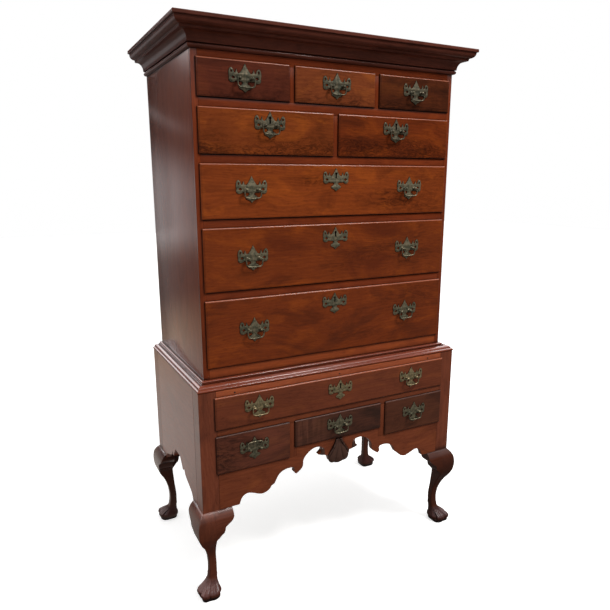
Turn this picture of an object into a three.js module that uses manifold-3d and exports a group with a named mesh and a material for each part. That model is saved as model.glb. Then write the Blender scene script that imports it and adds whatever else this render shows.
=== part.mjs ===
// A flat-top highboy: an upper case of five drawer rows that stands in the moulding of a lower
// case on four cabriole legs. Millimetres, +Z up, front facing -Y, floor at Z = 0.
import * as THREE from 'three';
import { mergeVertices } from 'three/addons/utils/BufferGeometryUtils.js';
import Module from 'manifold-3d';

const wasm = await Module();
wasm.setup();

// Fits
const fit = 0.3; // between neighbouring pieces
const overrun = 2; // cutters and joined blocks run past each other by this
const runnerGap = 0.5; // under a drawer side
const drawerSideGap = 1.5; // beside a drawer box
const drawerTopGap = 4; // over a drawer box

// Upper case
const upperWidth = 958;
const upperDepth = 528;
const sideThickness = 20;
const boardThickness = 20;
const backThickness = 15;
const facingThickness = 10; // strips that cover the front edges of the sides
const bladeThickness = 31; // horizontal dividers between the drawer rows
const bladeDepth = 70;
const railDepth = 22;
const baseRailHeight = 50.7;
const friezeHeight = 27.3; // from the top drawers' opening to the cornice
const dividerThickness = 30; // uprights between the drawers of one row
const runnerThickness = 16;
const runnerWidth = 28;
const guideHeight = 20;

// Lower case
const sideStep = 35; // the lower case is wider by this on each side
const frontStep = 46; // and stands forward by this
const kneeHeight = 322; // floor to the underside of the case at the legs
const apronHeight = 127; // at the legs, up to the small side drawers
const lowerBladeThickness = 26.8;
const lowerRailHeight = 27.4; // over the long drawer
const lowerDividerThickness = 32.4;
const postWidth = 58;
const apronThickness = 20;
const lowerBackThickness = 20;
const lowerBackDrop = 30; // the back reaches below the small drawers by this
const sideOpeningShare = 0.2759; // width for each small side drawer, of the lower opening

// Waist
const waistBoardThickness = 10;
const waistHeight = 27; // from the top of the lower case to the top of the moulding
const waistOverhang = 2;
const waistBeadShares = { out: 0.26, down: 0.34 }; // the upper bead, of the reach and height
const waistQuirkShare = 0.06;
const waistOvoloShares = { out: 0.52, up: 0.42, foot: 0.84 };
const waistEdgeShares = { out: 0.12, up: 0.17 }; // the lower bead

// Cornice
const corniceHeight = 80;
const corniceReach = 62;
const corniceLip = 6; // the cornice stands above the case top by this
const corniceShares = { // of its reach and of its height
  bead: { out: 0.16, up: 0.17 },
  cove: { out: 0.5, up: 0.525 },
  fillet: { out: 0.64, up: 0.62 },
  ovolo: { out: 0.91, up: 0.82 },
  cap: { out: 1, up: 0.86 },
};

// Drawers
const lip = 6; // the moulded front overlaps the case by this
const lipProud = 6.2; // and stands in front of it by this
const lipRim = 2.4; // thickness of its square rim
const lipMoulding = 5; // width of its rounded border
const lipCurveShares = [[0.3, 0.72], [1, 0.86]]; // inward of that width, forward of the lip
const frontGap = 1; // between a drawer front and the blade under it
const frontThickness = 18;
const drawerSideThickness = 12;
const drawerBottomThickness = 8;
const drawerBottomRise = 6;
const drawerBackDrop = 8;
const drawerEndGap = 8; // behind a closed drawer
const longLowerFront = 220;
const longMiddleFront = 199;
const longUpperFront = 166;
const secondRowFront = 134;
const topRowFront = 108;
const lowerLongFront = 111.2;
const lowerSideFront = 131.6;
const lowerCentreFront = 97.9;

// Brasses
const topRowHandleRise = 2.5; // of the post axis over the middle of the front
const secondRowHandleRise = 20;
const longUpperHandleRise = 5;
const longMiddleHandleRise = 1;
const longLowerHandleRise = 3;
const lowerHandleRise = 3;
const lowerCentreHandleRise = 1;
const longSpreadShare = 0.65; // where a long drawer's handles stand, of half its width
const lowerLongSpreadShare = 0.67;
const keyholeDrop = 49; // from the top of a front to the middle of its keyhole plate
const plateWidth = 104;
const plateRise = 42; // spire over the post axis
const plateDrop = 38.6; // tail under the post axis
const plateThickness = 1.6;
const escutcheonShare = 0.93; // size of a keyhole plate, of a bail plate
const postSpacing = 40;
const postReach = 11; // plate to bail axis
const postBallRadius = 5;
const postBallShares = [[0, -0.85], [1, -0.2], [0.75, 0.65], [0, 1]]; // radius, and forward
const postNeckRadius = 2.8;
const rosetteRadius = 6.5;
const rosetteThickness = 1.8;
const pinRadius = 1.7;
const pinDepth = 7.5;
const socketRadius = 2.4;
const bailWidth = 62;
const bailDrop = 26;
const bailRadius = 2.3;
const bailShoulder = 2.5; // from the ball to the bend of the bail
const bailRunShares = [ // half of it: across of half its width, down of its drop, thickness
  [1, 0.2, 0.9],
  [0.88, 0.75, 1],
  [0.5, 0.97, 1],
  [0, 1, 1.15],
];
const raisedBailTurn = 192; // degrees from hanging to leaning on its plate
const keyholeRadius = 2.8;
const keyholeSlot = 13; // its reach under the round hole
const keyholeRise = 21.4;

// Cabriole legs, measured outwards from the outer corner of the post
const kneeReach = 24;
const ankleInset = 21.4;
const ankleWidth = 26;
const footInset = 16; // of the centre of the foot
const footRadius = 39;
const bracketWidth = 43;
const bracketHeight = 78;
const bracketThickness = 34;
const bracketTailShare = 1.34; // where its lower edge dies into the leg, of its height
const bracketSinkShare = 0.6; // where it starts inside the leg, of the post

// Shell
const shellStart = 6; // the lobes start this far under the sill of the centre drawer
const shellSpread = 82; // degrees each way from straight down
const shellHalfWidth = 42.4;
const shellRelief = 8;
const shellLobes = 7;
const shellFootShare = 0.48; // height of its foot, of the apron's
const shellSquareness = 3.6; // how far its outline is from an ellipse (2) to a box
const shellGrooveShare = 0.5; // depth between two lobes, of the relief
const shellRowShares = [[0.08, 0.4], [0.5, 0.8], [0.86, 1], [1, 0.25]]; // out along a lobe, and up

// Worked out from the above
const upperHalf = upperWidth / 2;
const lowerHalf = upperHalf + sideStep;
const lowerFront = -frontStep;
const openingHalf = upperHalf - sideThickness;
const lowerOpeningHalf = lowerHalf - postWidth;
const openingOf = (front) => front - lip + frontGap;

const lowerSideSill = kneeHeight + apronHeight;
const lowerBladeBottom = lowerSideSill + openingOf(lowerSideFront);
const lowerCentreSill = lowerBladeBottom - openingOf(lowerCentreFront);
const lowerLongSill = lowerBladeBottom + lowerBladeThickness;
const lowerRailBottom = lowerLongSill + openingOf(lowerLongFront);
const lowerTop = lowerRailBottom + lowerRailHeight;
const upperBottom = lowerTop + waistBoardThickness;

const longLowerSill = upperBottom + baseRailHeight;
const longMiddleSill = longLowerSill + openingOf(longLowerFront) + bladeThickness;
const longUpperSill = longMiddleSill + openingOf(longMiddleFront) + bladeThickness;
const secondRowSill = longUpperSill + openingOf(longUpperFront) + bladeThickness;
const topRowSill = secondRowSill + openingOf(secondRowFront) + bladeThickness;
const friezeBottom = topRowSill + openingOf(topRowFront);
const corniceBottom = friezeBottom + friezeHeight;
const totalHeight = corniceBottom + corniceHeight;
const upperTop = totalHeight - corniceLip;
const backInside = upperDepth - backThickness;
const lowerBackInside = upperDepth - lowerBackThickness;

// Where the uprights stand
const topDividerCentre = (2 * openingHalf - 2 * dividerThickness) / 6 + dividerThickness / 2;
const sideOpeningWidth = sideOpeningShare * 2 * lowerOpeningHalf;
const lowerDividerCentre = lowerOpeningHalf - sideOpeningWidth - lowerDividerThickness / 2;

// Materials
const walnut = { color: 0x74381c, roughness: 0.42, metalness: 0 };
const walnutDark = { color: 0x4a2419, roughness: 0.45, metalness: 0 };
const walnutPlain = { color: 0x6a4334, roughness: 0.5, metalness: 0 };
const poplar = { color: 0xa98a5c, roughness: 0.75, metalness: 0 };
const brass = { color: 0x8d8560, roughness: 0.4, metalness: 0.9 };

const highboy = new THREE.Group();

// Closed solids from three.js geometry, and back
function solid(geometry) {
  const bare = geometry.index ? geometry.toNonIndexed() : geometry.clone();
  bare.deleteAttribute('normal');
  bare.deleteAttribute('uv');
  const merged = mergeVertices(bare, 1e-4);
  const points = merged.attributes.position;
  const triangles = Array.from(merged.index.array);
  const a = new THREE.Vector3();
  const b = new THREE.Vector3();
  const c = new THREE.Vector3();
  let volume = 0;
  for (let i = 0; i < triangles.length; i += 3) {
    a.fromBufferAttribute(points, triangles[i]);
    b.fromBufferAttribute(points, triangles[i + 1]);
    c.fromBufferAttribute(points, triangles[i + 2]);
    volume += a.dot(b.cross(c));
  }
  if (volume < 0) {
    for (let i = 0; i < triangles.length; i += 3) {
      [triangles[i], triangles[i + 1]] = [triangles[i + 1], triangles[i]];
    }
  }
  const mesh = new wasm.Mesh({
    numProp: 3,
    vertProperties: Float32Array.from(points.array),
    triVerts: Uint32Array.from(triangles),
  });
  return new wasm.Manifold(mesh);
}

function joined(solids) {
  return solids.reduce((sum, next) => sum.add(next));
}

function addMesh(parent, name, body, material) {
  const mesh = body.getMesh();
  const geometry = new THREE.BufferGeometry();
  const positions = Float32Array.from(mesh.vertProperties);
  geometry.setAttribute('position', new THREE.BufferAttribute(positions, 3));
  geometry.setIndex(new THREE.BufferAttribute(Uint32Array.from(mesh.triVerts), 1));
  geometry.computeVertexNormals();
  const piece = new THREE.Mesh(geometry, new THREE.MeshStandardMaterial(material));
  piece.name = name;
  parent.add(piece);
  return piece;
}

// A block between two corners
function block([x0, x1], [y0, y1], [z0, z1]) {
  const geometry = new THREE.BoxGeometry(x1 - x0, y1 - y0, z1 - z0);
  geometry.translate((x0 + x1) / 2, (y0 + y1) / 2, (z0 + z1) / 2);
  return solid(geometry);
}

// The same block on the left and on the right
function pairOfBlocks([x0, x1], ys, zs) {
  return [block([x0, x1], ys, zs), block([-x1, -x0], ys, zs)];
}

// A closed skin over rings of equal length; flat gives a cap's points in its own plane
function skin(rings, flat) {
  const count = rings[0].length;
  const positions = rings.flat().flatMap((p) => [p.x, p.y, p.z]);
  const index = [];
  for (let r = 0; r + 1 < rings.length; r += 1) {
    for (let i = 0; i < count; i += 1) {
      const j = (i + 1) % count;
      const low = r * count;
      const high = low + count;
      index.push(low + i, low + j, high + j, low + i, high + j, high + i);
    }
  }
  const cap = (ring, start, facing) => {
    const outline = ring.map(flat);
    const turn = Math.sign(THREE.ShapeUtils.area(outline)) * facing;
    for (const [a, b, c] of THREE.ShapeUtils.triangulateShape(outline, [])) {
      const triangle = [outline[a], outline[b], outline[c]];
      const same = Math.sign(THREE.ShapeUtils.area(triangle)) === turn;
      index.push(start + a, start + (same ? b : c), start + (same ? c : b));
    }
  };
  cap(rings[0], 0, -1);
  cap(rings.at(-1), (rings.length - 1) * count, 1);
  const geometry = new THREE.BufferGeometry();
  geometry.setAttribute('position', new THREE.Float32BufferAttribute(positions, 3));
  geometry.setIndex(index);
  return geometry;
}

// An outline drawn in X and Z, cut through from one Y to another
function boardXZ(outline, [y0, y1]) {
  const geometry = new THREE.ExtrudeGeometry(new THREE.Shape(outline), {
    depth: y1 - y0,
    bevelEnabled: false,
  });
  geometry.rotateX(Math.PI / 2);
  geometry.translate(0, y1, 0);
  return solid(geometry);
}

// An outline drawn in Y and Z, cut through from one X to another
function boardYZ(outline, [x0, x1]) {
  const geometry = new THREE.ExtrudeGeometry(new THREE.Shape(outline), {
    depth: x1 - x0,
    bevelEnabled: false,
  });
  geometry.rotateX(Math.PI / 2);
  geometry.rotateZ(Math.PI / 2);
  geometry.translate(x0, 0, 0);
  return solid(geometry);
}

// Points along a smooth run through a few places, leaving out its last
function run(places, steps) {
  const curve = new THREE.SplineCurve(places.map(([x, y]) => new THREE.Vector2(x, y)));
  return curve.getPoints(steps).slice(0, steps);
}

// A moulding that goes round the front and both sides of a case, mitred at its two corners.
// Its profile lists [distance out from the case, height]; the front may reach further out.
function moulding(profile, half, back, frontRatio) {
  const station = (place) => profile.map(([out, z]) => new THREE.Vector3(...place(out), z));
  const rings = [
    station((out) => [-half - out, back]),
    station((out) => [-half - out, -out * frontRatio]),
    station((out) => [half + out, -out * frontRatio]),
    station((out) => [half + out, back]),
  ];
  return solid(skin(rings, (p) => new THREE.Vector2(p.x, p.z)));
}

// Points on a quarter of an ellipse, from one angle to another
function arc([centreX, centreY], [radiusX, radiusY], [from, to], steps) {
  const points = [];
  for (let i = 0; i <= steps; i += 1) {
    const angle = THREE.MathUtils.degToRad(from + ((to - from) * i) / steps);
    points.push([centreX + radiusX * Math.cos(angle), centreY + radiusY * Math.sin(angle)]);
  }
  return points;
}

// Upper case: sides, top, bottom, back and side runners, dovetailed and nailed together
function upperCarcase() {
  const inside = [-openingHalf - overrun, openingHalf + overrun];
  const behindRail = [railDepth + fit, upperDepth];
  const pieces = [
    ...pairOfBlocks([openingHalf, upperHalf], [facingThickness + fit, upperDepth],
      [upperBottom, upperTop]),
    block(inside, behindRail, [upperTop - boardThickness, upperTop]),
    block(inside, behindRail, [upperBottom, upperBottom + boardThickness]),
    block(inside, [backInside, upperDepth], [upperBottom, upperTop]),
  ];
  for (const sill of [longLowerSill, longMiddleSill, longUpperSill, secondRowSill, topRowSill]) {
    pieces.push(...pairOfBlocks([openingHalf - runnerWidth, openingHalf + overrun],
      [bladeDepth + fit, backInside + overrun], [sill - runnerThickness, sill]));
  }
  return joined(pieces);
}

// The upright between two drawers, with the runner and guide behind it
function upperDivider(centre, sill, top) {
  const half = dividerThickness / 2;
  const guideHalf = half - drawerSideGap;
  const back = backInside - fit;
  return [
    block([centre - half, centre + half], [0, railDepth], [sill - overrun, top + overrun]),
    block([centre - half - runnerWidth, centre + half + runnerWidth],
      [bladeDepth - overrun, back], [sill - runnerThickness, sill]),
    block([centre - guideHalf, centre + guideHalf], [bladeDepth - overrun, back],
      [sill - overrun, sill + guideHeight]),
  ];
}

// Facing strips, frieze rail, blades, base rail and dividers
function upperFrontFrame() {
  const inner = openingHalf - fit;
  const across = [-inner, inner];
  const pieces = [
    ...pairOfBlocks([inner, upperHalf], [0, facingThickness], [upperBottom, upperTop]),
    block([-upperHalf, upperHalf], [0, facingThickness], [friezeBottom, upperTop]),
    block(across, [0, railDepth], [friezeBottom, upperTop]),
    block([-upperHalf, upperHalf], [0, facingThickness], [upperBottom, longLowerSill]),
    block(across, [0, railDepth], [upperBottom, longLowerSill]),
  ];
  for (const sill of [longMiddleSill, longUpperSill, secondRowSill, topRowSill]) {
    pieces.push(block(across, [0, bladeDepth], [sill - bladeThickness, sill]));
    pieces.push(block([-upperHalf, upperHalf], [0, facingThickness], [sill - bladeThickness, sill]));
  }
  pieces.push(...upperDivider(0, secondRowSill, topRowSill - bladeThickness));
  pieces.push(...upperDivider(topDividerCentre, topRowSill, friezeBottom));
  pieces.push(...upperDivider(-topDividerCentre, topRowSill, friezeBottom));
  return joined(pieces);
}

// Cornice: bead, cove, fillet, ovolo and top fillet
function cornice() {
  const spot = ({ out, up }) => [out * corniceReach, corniceBottom + up * corniceHeight];
  const [beadReach, beadTop] = spot(corniceShares.bead);
  const [coveReach, coveTop] = spot(corniceShares.cove);
  const [filletReach, filletTop] = spot(corniceShares.fillet);
  const [ovoloReach, ovoloTop] = spot(corniceShares.ovolo);
  const [capReach, capBottom] = spot(corniceShares.cap);
  const beadMiddle = (corniceBottom + beadTop) / 2;
  const profile = [
    [fit, corniceBottom],
    ...arc([fit, beadMiddle], [beadReach - fit, beadMiddle - corniceBottom], [-60, 50], 4),
    ...arc([coveReach, beadTop], [beadReach - coveReach, coveTop - beadTop], [0, 90], 5),
    [filletReach, coveTop],
    [filletReach, filletTop],
    ...arc([filletReach, ovoloTop], [ovoloReach - filletReach, filletTop - ovoloTop],
      [78, 0], 4),
    [capReach, capBottom],
    [capReach, totalHeight],
    [fit, totalHeight],
  ];
  return moulding(profile, upperHalf, upperDepth, 1);
}

// Waist moulding on the board that covers the lower case
function waistMoulding() {
  const reach = sideStep + waistOverhang;
  const top = lowerTop + waistHeight;
  const beadReach = waistBeadShares.out * reach;
  const beadBottom = top - waistBeadShares.down * waistHeight;
  const quirk = waistQuirkShare * reach;
  const ovoloBottom = lowerTop + waistOvoloShares.up * waistHeight;
  const ovoloReach = waistOvoloShares.out * reach;
  const beadMiddle = (top + beadBottom) / 2;
  const edgeMiddle = lowerTop + waistEdgeShares.up * waistHeight;
  const edgeReach = waistEdgeShares.out * reach;
  const profile = [
    [fit, lowerTop],
    ...arc([reach - edgeReach, edgeMiddle], [edgeReach, edgeMiddle - lowerTop], [-90, 90], 4),
    [waistOvoloShares.foot * reach, ovoloBottom],
    ...arc([beadReach + quirk, ovoloBottom], [ovoloReach, beadBottom - ovoloBottom], [0, 90], 4),
    [beadReach, beadBottom],
    ...arc([beadReach / 2, beadMiddle], [beadReach / 2, top - beadMiddle], [0, 90], 3),
    [fit, top],
  ];
  const frontRatio = (frontStep + waistOverhang) / reach;
  const board = block([-lowerHalf, lowerHalf], [lowerFront, upperDepth],
    [lowerTop, lowerTop + waistBoardThickness]);
  return joined([moulding(profile, upperHalf, upperDepth, frontRatio), board]);
}

// The scalloped lower edge of the apron, as shares of the half opening and of the apron's drop.
// Each run is smooth and ends at a cusp or a step.
const apronRunShares = [
  { steps: 1, places: [[1, 0], [0.9, 0]] },
  { steps: 1, places: [[0.9, 0], [0.847, -0.016]] },
  { steps: 7, places: [[0.847, 0], [0.825, 0.189], [0.783, 0.268], [0.737, 0.228],
    [0.689, 0.157], [0.652, 0.142], [0.61, 0.2], [0.586, 0.307]] },
  { steps: 1, places: [[0.586, 0.307], [0.562, 0.346]] },
  { steps: 6, places: [[0.562, 0.346], [0.533, 0.535], [0.509, 0.622], [0.474, 0.677],
    [0.435, 0.693], [0.399, 0.677]] },
  { steps: 3, places: [[0.399, 0.677], [0.391, 0.606], [0.397, 0.535], [0.378, 0.465]] },
  { steps: 8, places: [[0.378, 0.465], [0.334, 0.575], [0.318, 0.677], [0.316, 0.803],
    [0.301, 0.913], [0.263, 1.039], [0.219, 1.11], [0.182, 1.11], [0.156, 1.094]] },
  { steps: 3, places: [[0.156, 1.094], [0.152, 0.976], [0.182, 0.874]] },
  { steps: 2, places: [[0.182, 0.874], [0.123, 0.811], [0.103, 0.803]] },
  { steps: 2, places: [[0.103, 0.803], [0.094, 0.724], [0.083, 0.598]] },
  { steps: 2, places: [[0.083, 0.598], [0.061, 0.598]] },
  { steps: 2, places: [[0.061, 0.598], [0.033, 0.52]] },
  { steps: 1, places: [[0.033, 0.52], [0, shellFootShare]] },
];

function apronOutline() {
  const half = [];
  for (const { steps, places } of apronRunShares) {
    half.push(...run(places.map(([across, up]) => [
      across * (lowerOpeningHalf - fit),
      kneeHeight + up * apronHeight,
    ]), steps));
  }
  const left = half.map((p) => new THREE.Vector2(-p.x, p.y));
  const right = half.map((p) => p.clone()).reverse();
  const edge = lowerOpeningHalf - fit;
  const centreHalf = lowerDividerCentre - lowerDividerThickness / 2;
  return [
    ...left,
    new THREE.Vector2(0, kneeHeight + shellFootShare * apronHeight),
    ...right,
    new THREE.Vector2(edge, lowerSideSill),
    new THREE.Vector2(centreHalf, lowerSideSill),
    new THREE.Vector2(centreHalf, lowerCentreSill),
    new THREE.Vector2(-centreHalf, lowerCentreSill),
    new THREE.Vector2(-centreHalf, lowerSideSill),
    new THREE.Vector2(-edge, lowerSideSill),
  ];
}

// A carved shell on the face of the apron: a hanging U of lobes that fan out from under the
// centre drawer, down to the apron's lower edge
function shell() {
  const stepsPerLobe = 3;
  const origin = lowerCentreSill - shellStart;
  const drop = origin - kneeHeight - shellFootShare * apronHeight;
  const columns = shellLobes * stepsPerLobe;
  const front = [];
  const rear = [];
  for (let i = 0; i <= columns; i += 1) {
    const angle = THREE.MathUtils.degToRad(shellSpread * (-1 + (2 * i) / columns));
    const groove = 1 - Math.abs(Math.sin((Math.PI * i) / stepsPerLobe));
    const across = Math.abs(Math.sin(angle)) / shellHalfWidth;
    const down = Math.cos(angle) / drop;
    const reach = (across ** shellSquareness + down ** shellSquareness) ** (-1 / shellSquareness);
    for (const [out, up] of shellRowShares) {
      const x = Math.sin(angle) * reach * out;
      const z = origin - Math.cos(angle) * reach * out;
      const relief = shellRelief * up * (1 - shellGrooveShare * groove);
      front.push(new THREE.Vector3(x, lowerFront - relief, z));
      rear.push(new THREE.Vector3(x, lowerFront + apronThickness / 2, z));
    }
  }
  const rows = shellRowShares.length;
  const offset = front.length;
  const index = [];
  const quad = (a, b, c, d) => index.push(a, b, c, a, c, d);
  for (let i = 0; i < columns; i += 1) {
    const here = i * rows;
    const next = here + rows;
    for (let k = 0; k + 1 < rows; k += 1) {
      quad(here + k, here + k + 1, next + k + 1, next + k);
      quad(offset + here + k, offset + next + k, offset + next + k + 1, offset + here + k + 1);
    }
    quad(here, next, offset + next, offset + here);
    quad(here + rows - 1, offset + here + rows - 1, offset + next + rows - 1, next + rows - 1);
  }
  const end = columns * rows;
  for (let k = 0; k + 1 < rows; k += 1) {
    quad(k, offset + k, offset + k + 1, k + 1);
    quad(end + k, end + k + 1, offset + end + k + 1, offset + end + k);
  }
  const geometry = new THREE.BufferGeometry();
  const positions = [...front, ...rear].flatMap((p) => [p.x, p.y, p.z]);
  geometry.setAttribute('position', new THREE.Float32BufferAttribute(positions, 3));
  geometry.setIndex(index);
  return solid(geometry);
}

// Top rail, blade, dividers, apron, and the runners and guides behind them
function lowerFrontFrame() {
  const inner = lowerOpeningHalf - fit;
  const across = [-inner, inner];
  const deep = [lowerFront, lowerFront + bladeDepth];
  const behindPost = [lowerFront + postWidth + fit, lowerFront + bladeDepth];
  const lining = [lowerOpeningHalf, lowerHalf - sideThickness - fit];
  const rearPost = upperDepth - postWidth - fit;
  const guideYs = [lowerFront + postWidth + fit, rearPost];
  const pieces = [
    block(across, deep, [lowerRailBottom, lowerTop]),
    ...pairOfBlocks([inner - overrun, lining[1]], behindPost, [lowerRailBottom, lowerTop]),
    block(across, deep, [lowerLongSill - lowerBladeThickness, lowerLongSill]),
    ...pairOfBlocks([inner - overrun, lining[1]], behindPost,
      [lowerLongSill - lowerBladeThickness, lowerLongSill]),
    ...pairOfBlocks(lining, guideYs, [lowerSideSill - runnerThickness, lowerTop]),
    ...pairOfBlocks([lowerOpeningHalf - runnerWidth, lining[1]], guideYs,
      [lowerLongSill - runnerThickness, lowerLongSill]),
    ...pairOfBlocks([lowerOpeningHalf - runnerWidth, lining[1]], guideYs,
      [lowerSideSill - runnerThickness, lowerSideSill]),
    boardXZ(apronOutline(), [lowerFront, lowerFront + apronThickness]),
    shell(),
  ];
  const half = lowerDividerThickness / 2;
  const inward = lowerDividerCentre - half;
  const outward = lowerDividerCentre + half;
  const centreGuideYs = [lowerFront + apronThickness - overrun, lowerBackInside - fit];
  pieces.push(
    ...pairOfBlocks([inward, outward], [lowerFront, lowerFront + railDepth],
      [lowerSideSill - overrun, lowerBladeBottom + overrun]),
    ...pairOfBlocks([inward + drawerSideGap, outward - drawerSideGap], centreGuideYs,
      [lowerSideSill - runnerThickness, lowerCentreSill + guideHeight]),
    ...pairOfBlocks([outward - 2 * overrun, outward + runnerWidth], centreGuideYs,
      [lowerSideSill - runnerThickness, lowerSideSill]),
    ...pairOfBlocks([inward - runnerWidth, inward + 2 * overrun], centreGuideYs,
      [lowerCentreSill - runnerThickness, lowerCentreSill]),
  );
  return joined(pieces);
}

// Half of the scalloped lower edge of a side board, as shares of its length and of the apron's
// drop; the other half mirrors it
const skirtRunShares = [
  { steps: 1, places: [[0, 0], [0.1, 0]] },
  { steps: 1, places: [[0.1, 0], [0.109, -0.055]] },
  { steps: 4, places: [[0.109, -0.055], [0.14, 0.11], [0.183, 0.189], [0.251, 0.268]] },
  { steps: 3, places: [[0.251, 0.268], [0.3, 0.36], [0.33, 0.496]] },
  { steps: 3, places: [[0.33, 0.496], [0.356, 0.43], [0.376, 0.433]] },
  { steps: 4, places: [[0.376, 0.433], [0.386, 0.52], [0.437, 0.732]] },
];

function lowerSide(side) {
  const front = lowerFront + postWidth + fit;
  const back = upperDepth - postWidth - fit;
  const place = ([along, up]) => new THREE.Vector2(front + along * (back - front),
    kneeHeight + up * apronHeight);
  const half = skirtRunShares.flatMap(({ steps, places }) => run(places, steps));
  half.push(new THREE.Vector2(...skirtRunShares.at(-1).places.at(-1)));
  const outline = [
    ...half.map((p) => place([p.x, p.y])),
    ...half.map((p) => place([1 - p.x, p.y])).reverse(),
    new THREE.Vector2(back, lowerTop),
    new THREE.Vector2(front, lowerTop),
  ];
  const xs = [lowerHalf - sideThickness, lowerHalf];
  return boardYZ(outline, side > 0 ? xs : [-xs[1], -xs[0]]);
}

function lowerBack() {
  const half = lowerOpeningHalf - fit;
  return block([-half, half], [lowerBackInside, upperDepth],
    [lowerSideSill - lowerBackDrop, lowerTop]);
}

// Down the leg from the post, at shares of the knee height: how far its outer edge stands out,
// and its inner faces in, as shares of the knee's reach and of the post
const kneeShares = [
  { height: 1, out: 0, inward: 1 },
  { height: 0.985, out: 0.16, inward: 0.93 },
  { height: 0.955, out: 0.58, inward: 0.85 },
  { height: 0.9, out: 0.91, inward: 0.78 },
  { height: 0.825, out: 1, inward: 0.7 },
  { height: 0.75, out: 0.9, inward: 0.68 },
  { height: 0.67, out: 0.52, inward: 0.68 },
];

// Down to the ankle, as shares of the ankle's inset and of the post
const shinShares = [
  { height: 0.585, back: 0.1, inward: 0.7 },
  { height: 0.5, back: 0.62, inward: 0.73 },
  { height: 0.415, back: 0.9, inward: 0.78 },
];

// At the ankle, as shares of its inset and of its width
const ankleShares = [
  { height: 0.33, back: 1, wide: 1 },
  { height: 0.245, back: 0.92, wide: 1.02 },
];

// Rings of the three-toed foot: radius as a share of the foot's, depth of the toes, and how far
// the middle has moved from the ankle's to the foot's
const footShares = [
  { height: 0.2, radius: 0.5, toes: 0.06, centre: 0.25 },
  { height: 0.15, radius: 0.74, toes: 0.13, centre: 0.6 },
  { height: 0.1, radius: 0.95, toes: 0.15, centre: 0.97 },
  { height: 0.02, radius: 0.92, toes: 0.1, centre: 1 },
  { height: 0, radius: 0.84, toes: 0.04, centre: 1 },
];
const shinCornerShare = 1.3; // corners other than the outer one are cut back to this
const arrisShare = 0.97; // how near the outer corner the leg stays sharp
const legSides = 18;
const toeSpread = 58; // degrees from the middle toe to each outer one
const toeWidth = 26; // degrees

// The lower edge of a knee bracket, as shares of its width beyond the post and of its height
const bracketRunShares = [
  { steps: 2, places: [[0, 1], [0.1, 0.97], [0.2, 0.87]] },
  { steps: 1, places: [[0.2, 0.87], [0.24, 0.69]] },
  { steps: 2, places: [[0.24, 0.69], [0.4, 0.63], [0.55, 0.57]] },
  { steps: 4, places: [[0.55, 0.57], [0.8, 0.47], [1, 0.3], [1, 0.02]] },
];

// Leg, post and knee brackets as one, for the corner where X and Y both point outwards
function legInOwnCorner() {
  const profile = [
    ...kneeShares.map(({ height, out, inward }) => ({
      z: height * kneeHeight, outer: out * kneeReach, inner: inward * postWidth,
    })),
    ...shinShares.map(({ height, back, inward }) => ({
      z: height * kneeHeight, outer: -back * ankleInset, inner: inward * postWidth,
    })),
    ...ankleShares.map(({ height, back, wide }) => ({
      z: height * kneeHeight, outer: -back * ankleInset, inner: ankleInset + wide * ankleWidth,
    })),
  ];
  const corner = Math.PI / 4;
  const rings = [...profile].reverse().map(({ z, outer, inner }) => {
    const centre = (outer - inner) / 2;
    const half = (outer + inner) / 2;
    const ring = [];
    for (let i = 0; i < legSides; i += 1) {
      const angle = corner + (2 * Math.PI * i) / legSides;
      const square = half / Math.max(Math.abs(Math.cos(angle)), Math.abs(Math.sin(angle)));
      const softened = Math.min(square, half * shinCornerShare);
      const length = Math.cos(angle - corner) > arrisShare ? square : softened;
      ring.push(new THREE.Vector3(centre + length * Math.cos(angle),
        centre + length * Math.sin(angle), z));
    }
    return ring;
  });
  const ankleCentre = -ankleInset - ankleWidth / 2;
  const foot = [...footShares].reverse().map(({ height, radius, toes, centre }) => {
    const middle = THREE.MathUtils.lerp(ankleCentre, -footInset, centre);
    const ring = [];
    for (let i = 0; i < legSides; i += 1) {
      const turn = (360 * i) / legSides;
      const angle = corner + THREE.MathUtils.degToRad(turn);
      const away = turn > 180 ? turn - 360 : turn;
      const nearest = Math.min(Math.abs(away), Math.abs(Math.abs(away) - toeSpread));
      const toe = Math.max(0, Math.cos((nearest / toeWidth) * (Math.PI / 2)));
      const length = footRadius * (radius * (1 - toes) + 2 * toes * toe * radius);
      ring.push(new THREE.Vector3(middle + length * Math.cos(angle),
        middle + length * Math.sin(angle), height * kneeHeight));
    }
    return ring;
  });
  const flat = (p) => new THREE.Vector2(p.x, p.y);
  const leg = solid(skin([...foot, ...rings], flat));
  const post = block([-postWidth, 0], [-postWidth, 0], [kneeHeight - overrun, lowerTop]);

  // The face of a bracket carries on the swell of the knee
  const swell = profile.slice(0, kneeShares.length);
  const bracketFace = [
    ...swell.map(({ z, outer }) => new THREE.Vector2(outer, z)),
    new THREE.Vector2(-bracketThickness, swell.at(-1).z),
    new THREE.Vector2(-bracketThickness, kneeHeight),
  ];
  const behindFace = -bracketSinkShare * postWidth;
  const place = ([out, down]) => [-postWidth - out * bracketWidth, kneeHeight - down * bracketHeight];
  const scroll = [
    ...bracketRunShares.flatMap(({ steps, places }) => run(places.map(place), steps)),
    new THREE.Vector2(-postWidth - bracketWidth, kneeHeight - fit),
    new THREE.Vector2(behindFace, kneeHeight - fit),
    new THREE.Vector2(behindFace, kneeHeight - bracketTailShare * bracketHeight),
  ];
  const faceX = boardYZ(bracketFace, [-postWidth - bracketWidth - overrun, overrun]);
  const outlineX = boardXZ(scroll, [-postWidth, kneeReach + overrun]);
  const bracketX = faceX.intersect(outlineX);
  const faceY = boardXZ(bracketFace, [-postWidth - bracketWidth - overrun, overrun]);
  const outlineY = boardYZ(scroll, [-postWidth, kneeReach + overrun]);
  const bracketY = faceY.intersect(outlineY);
  return joined([leg, post, bracketX, bracketY]);
}

const cornerLeg = legInOwnCorner();

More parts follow.
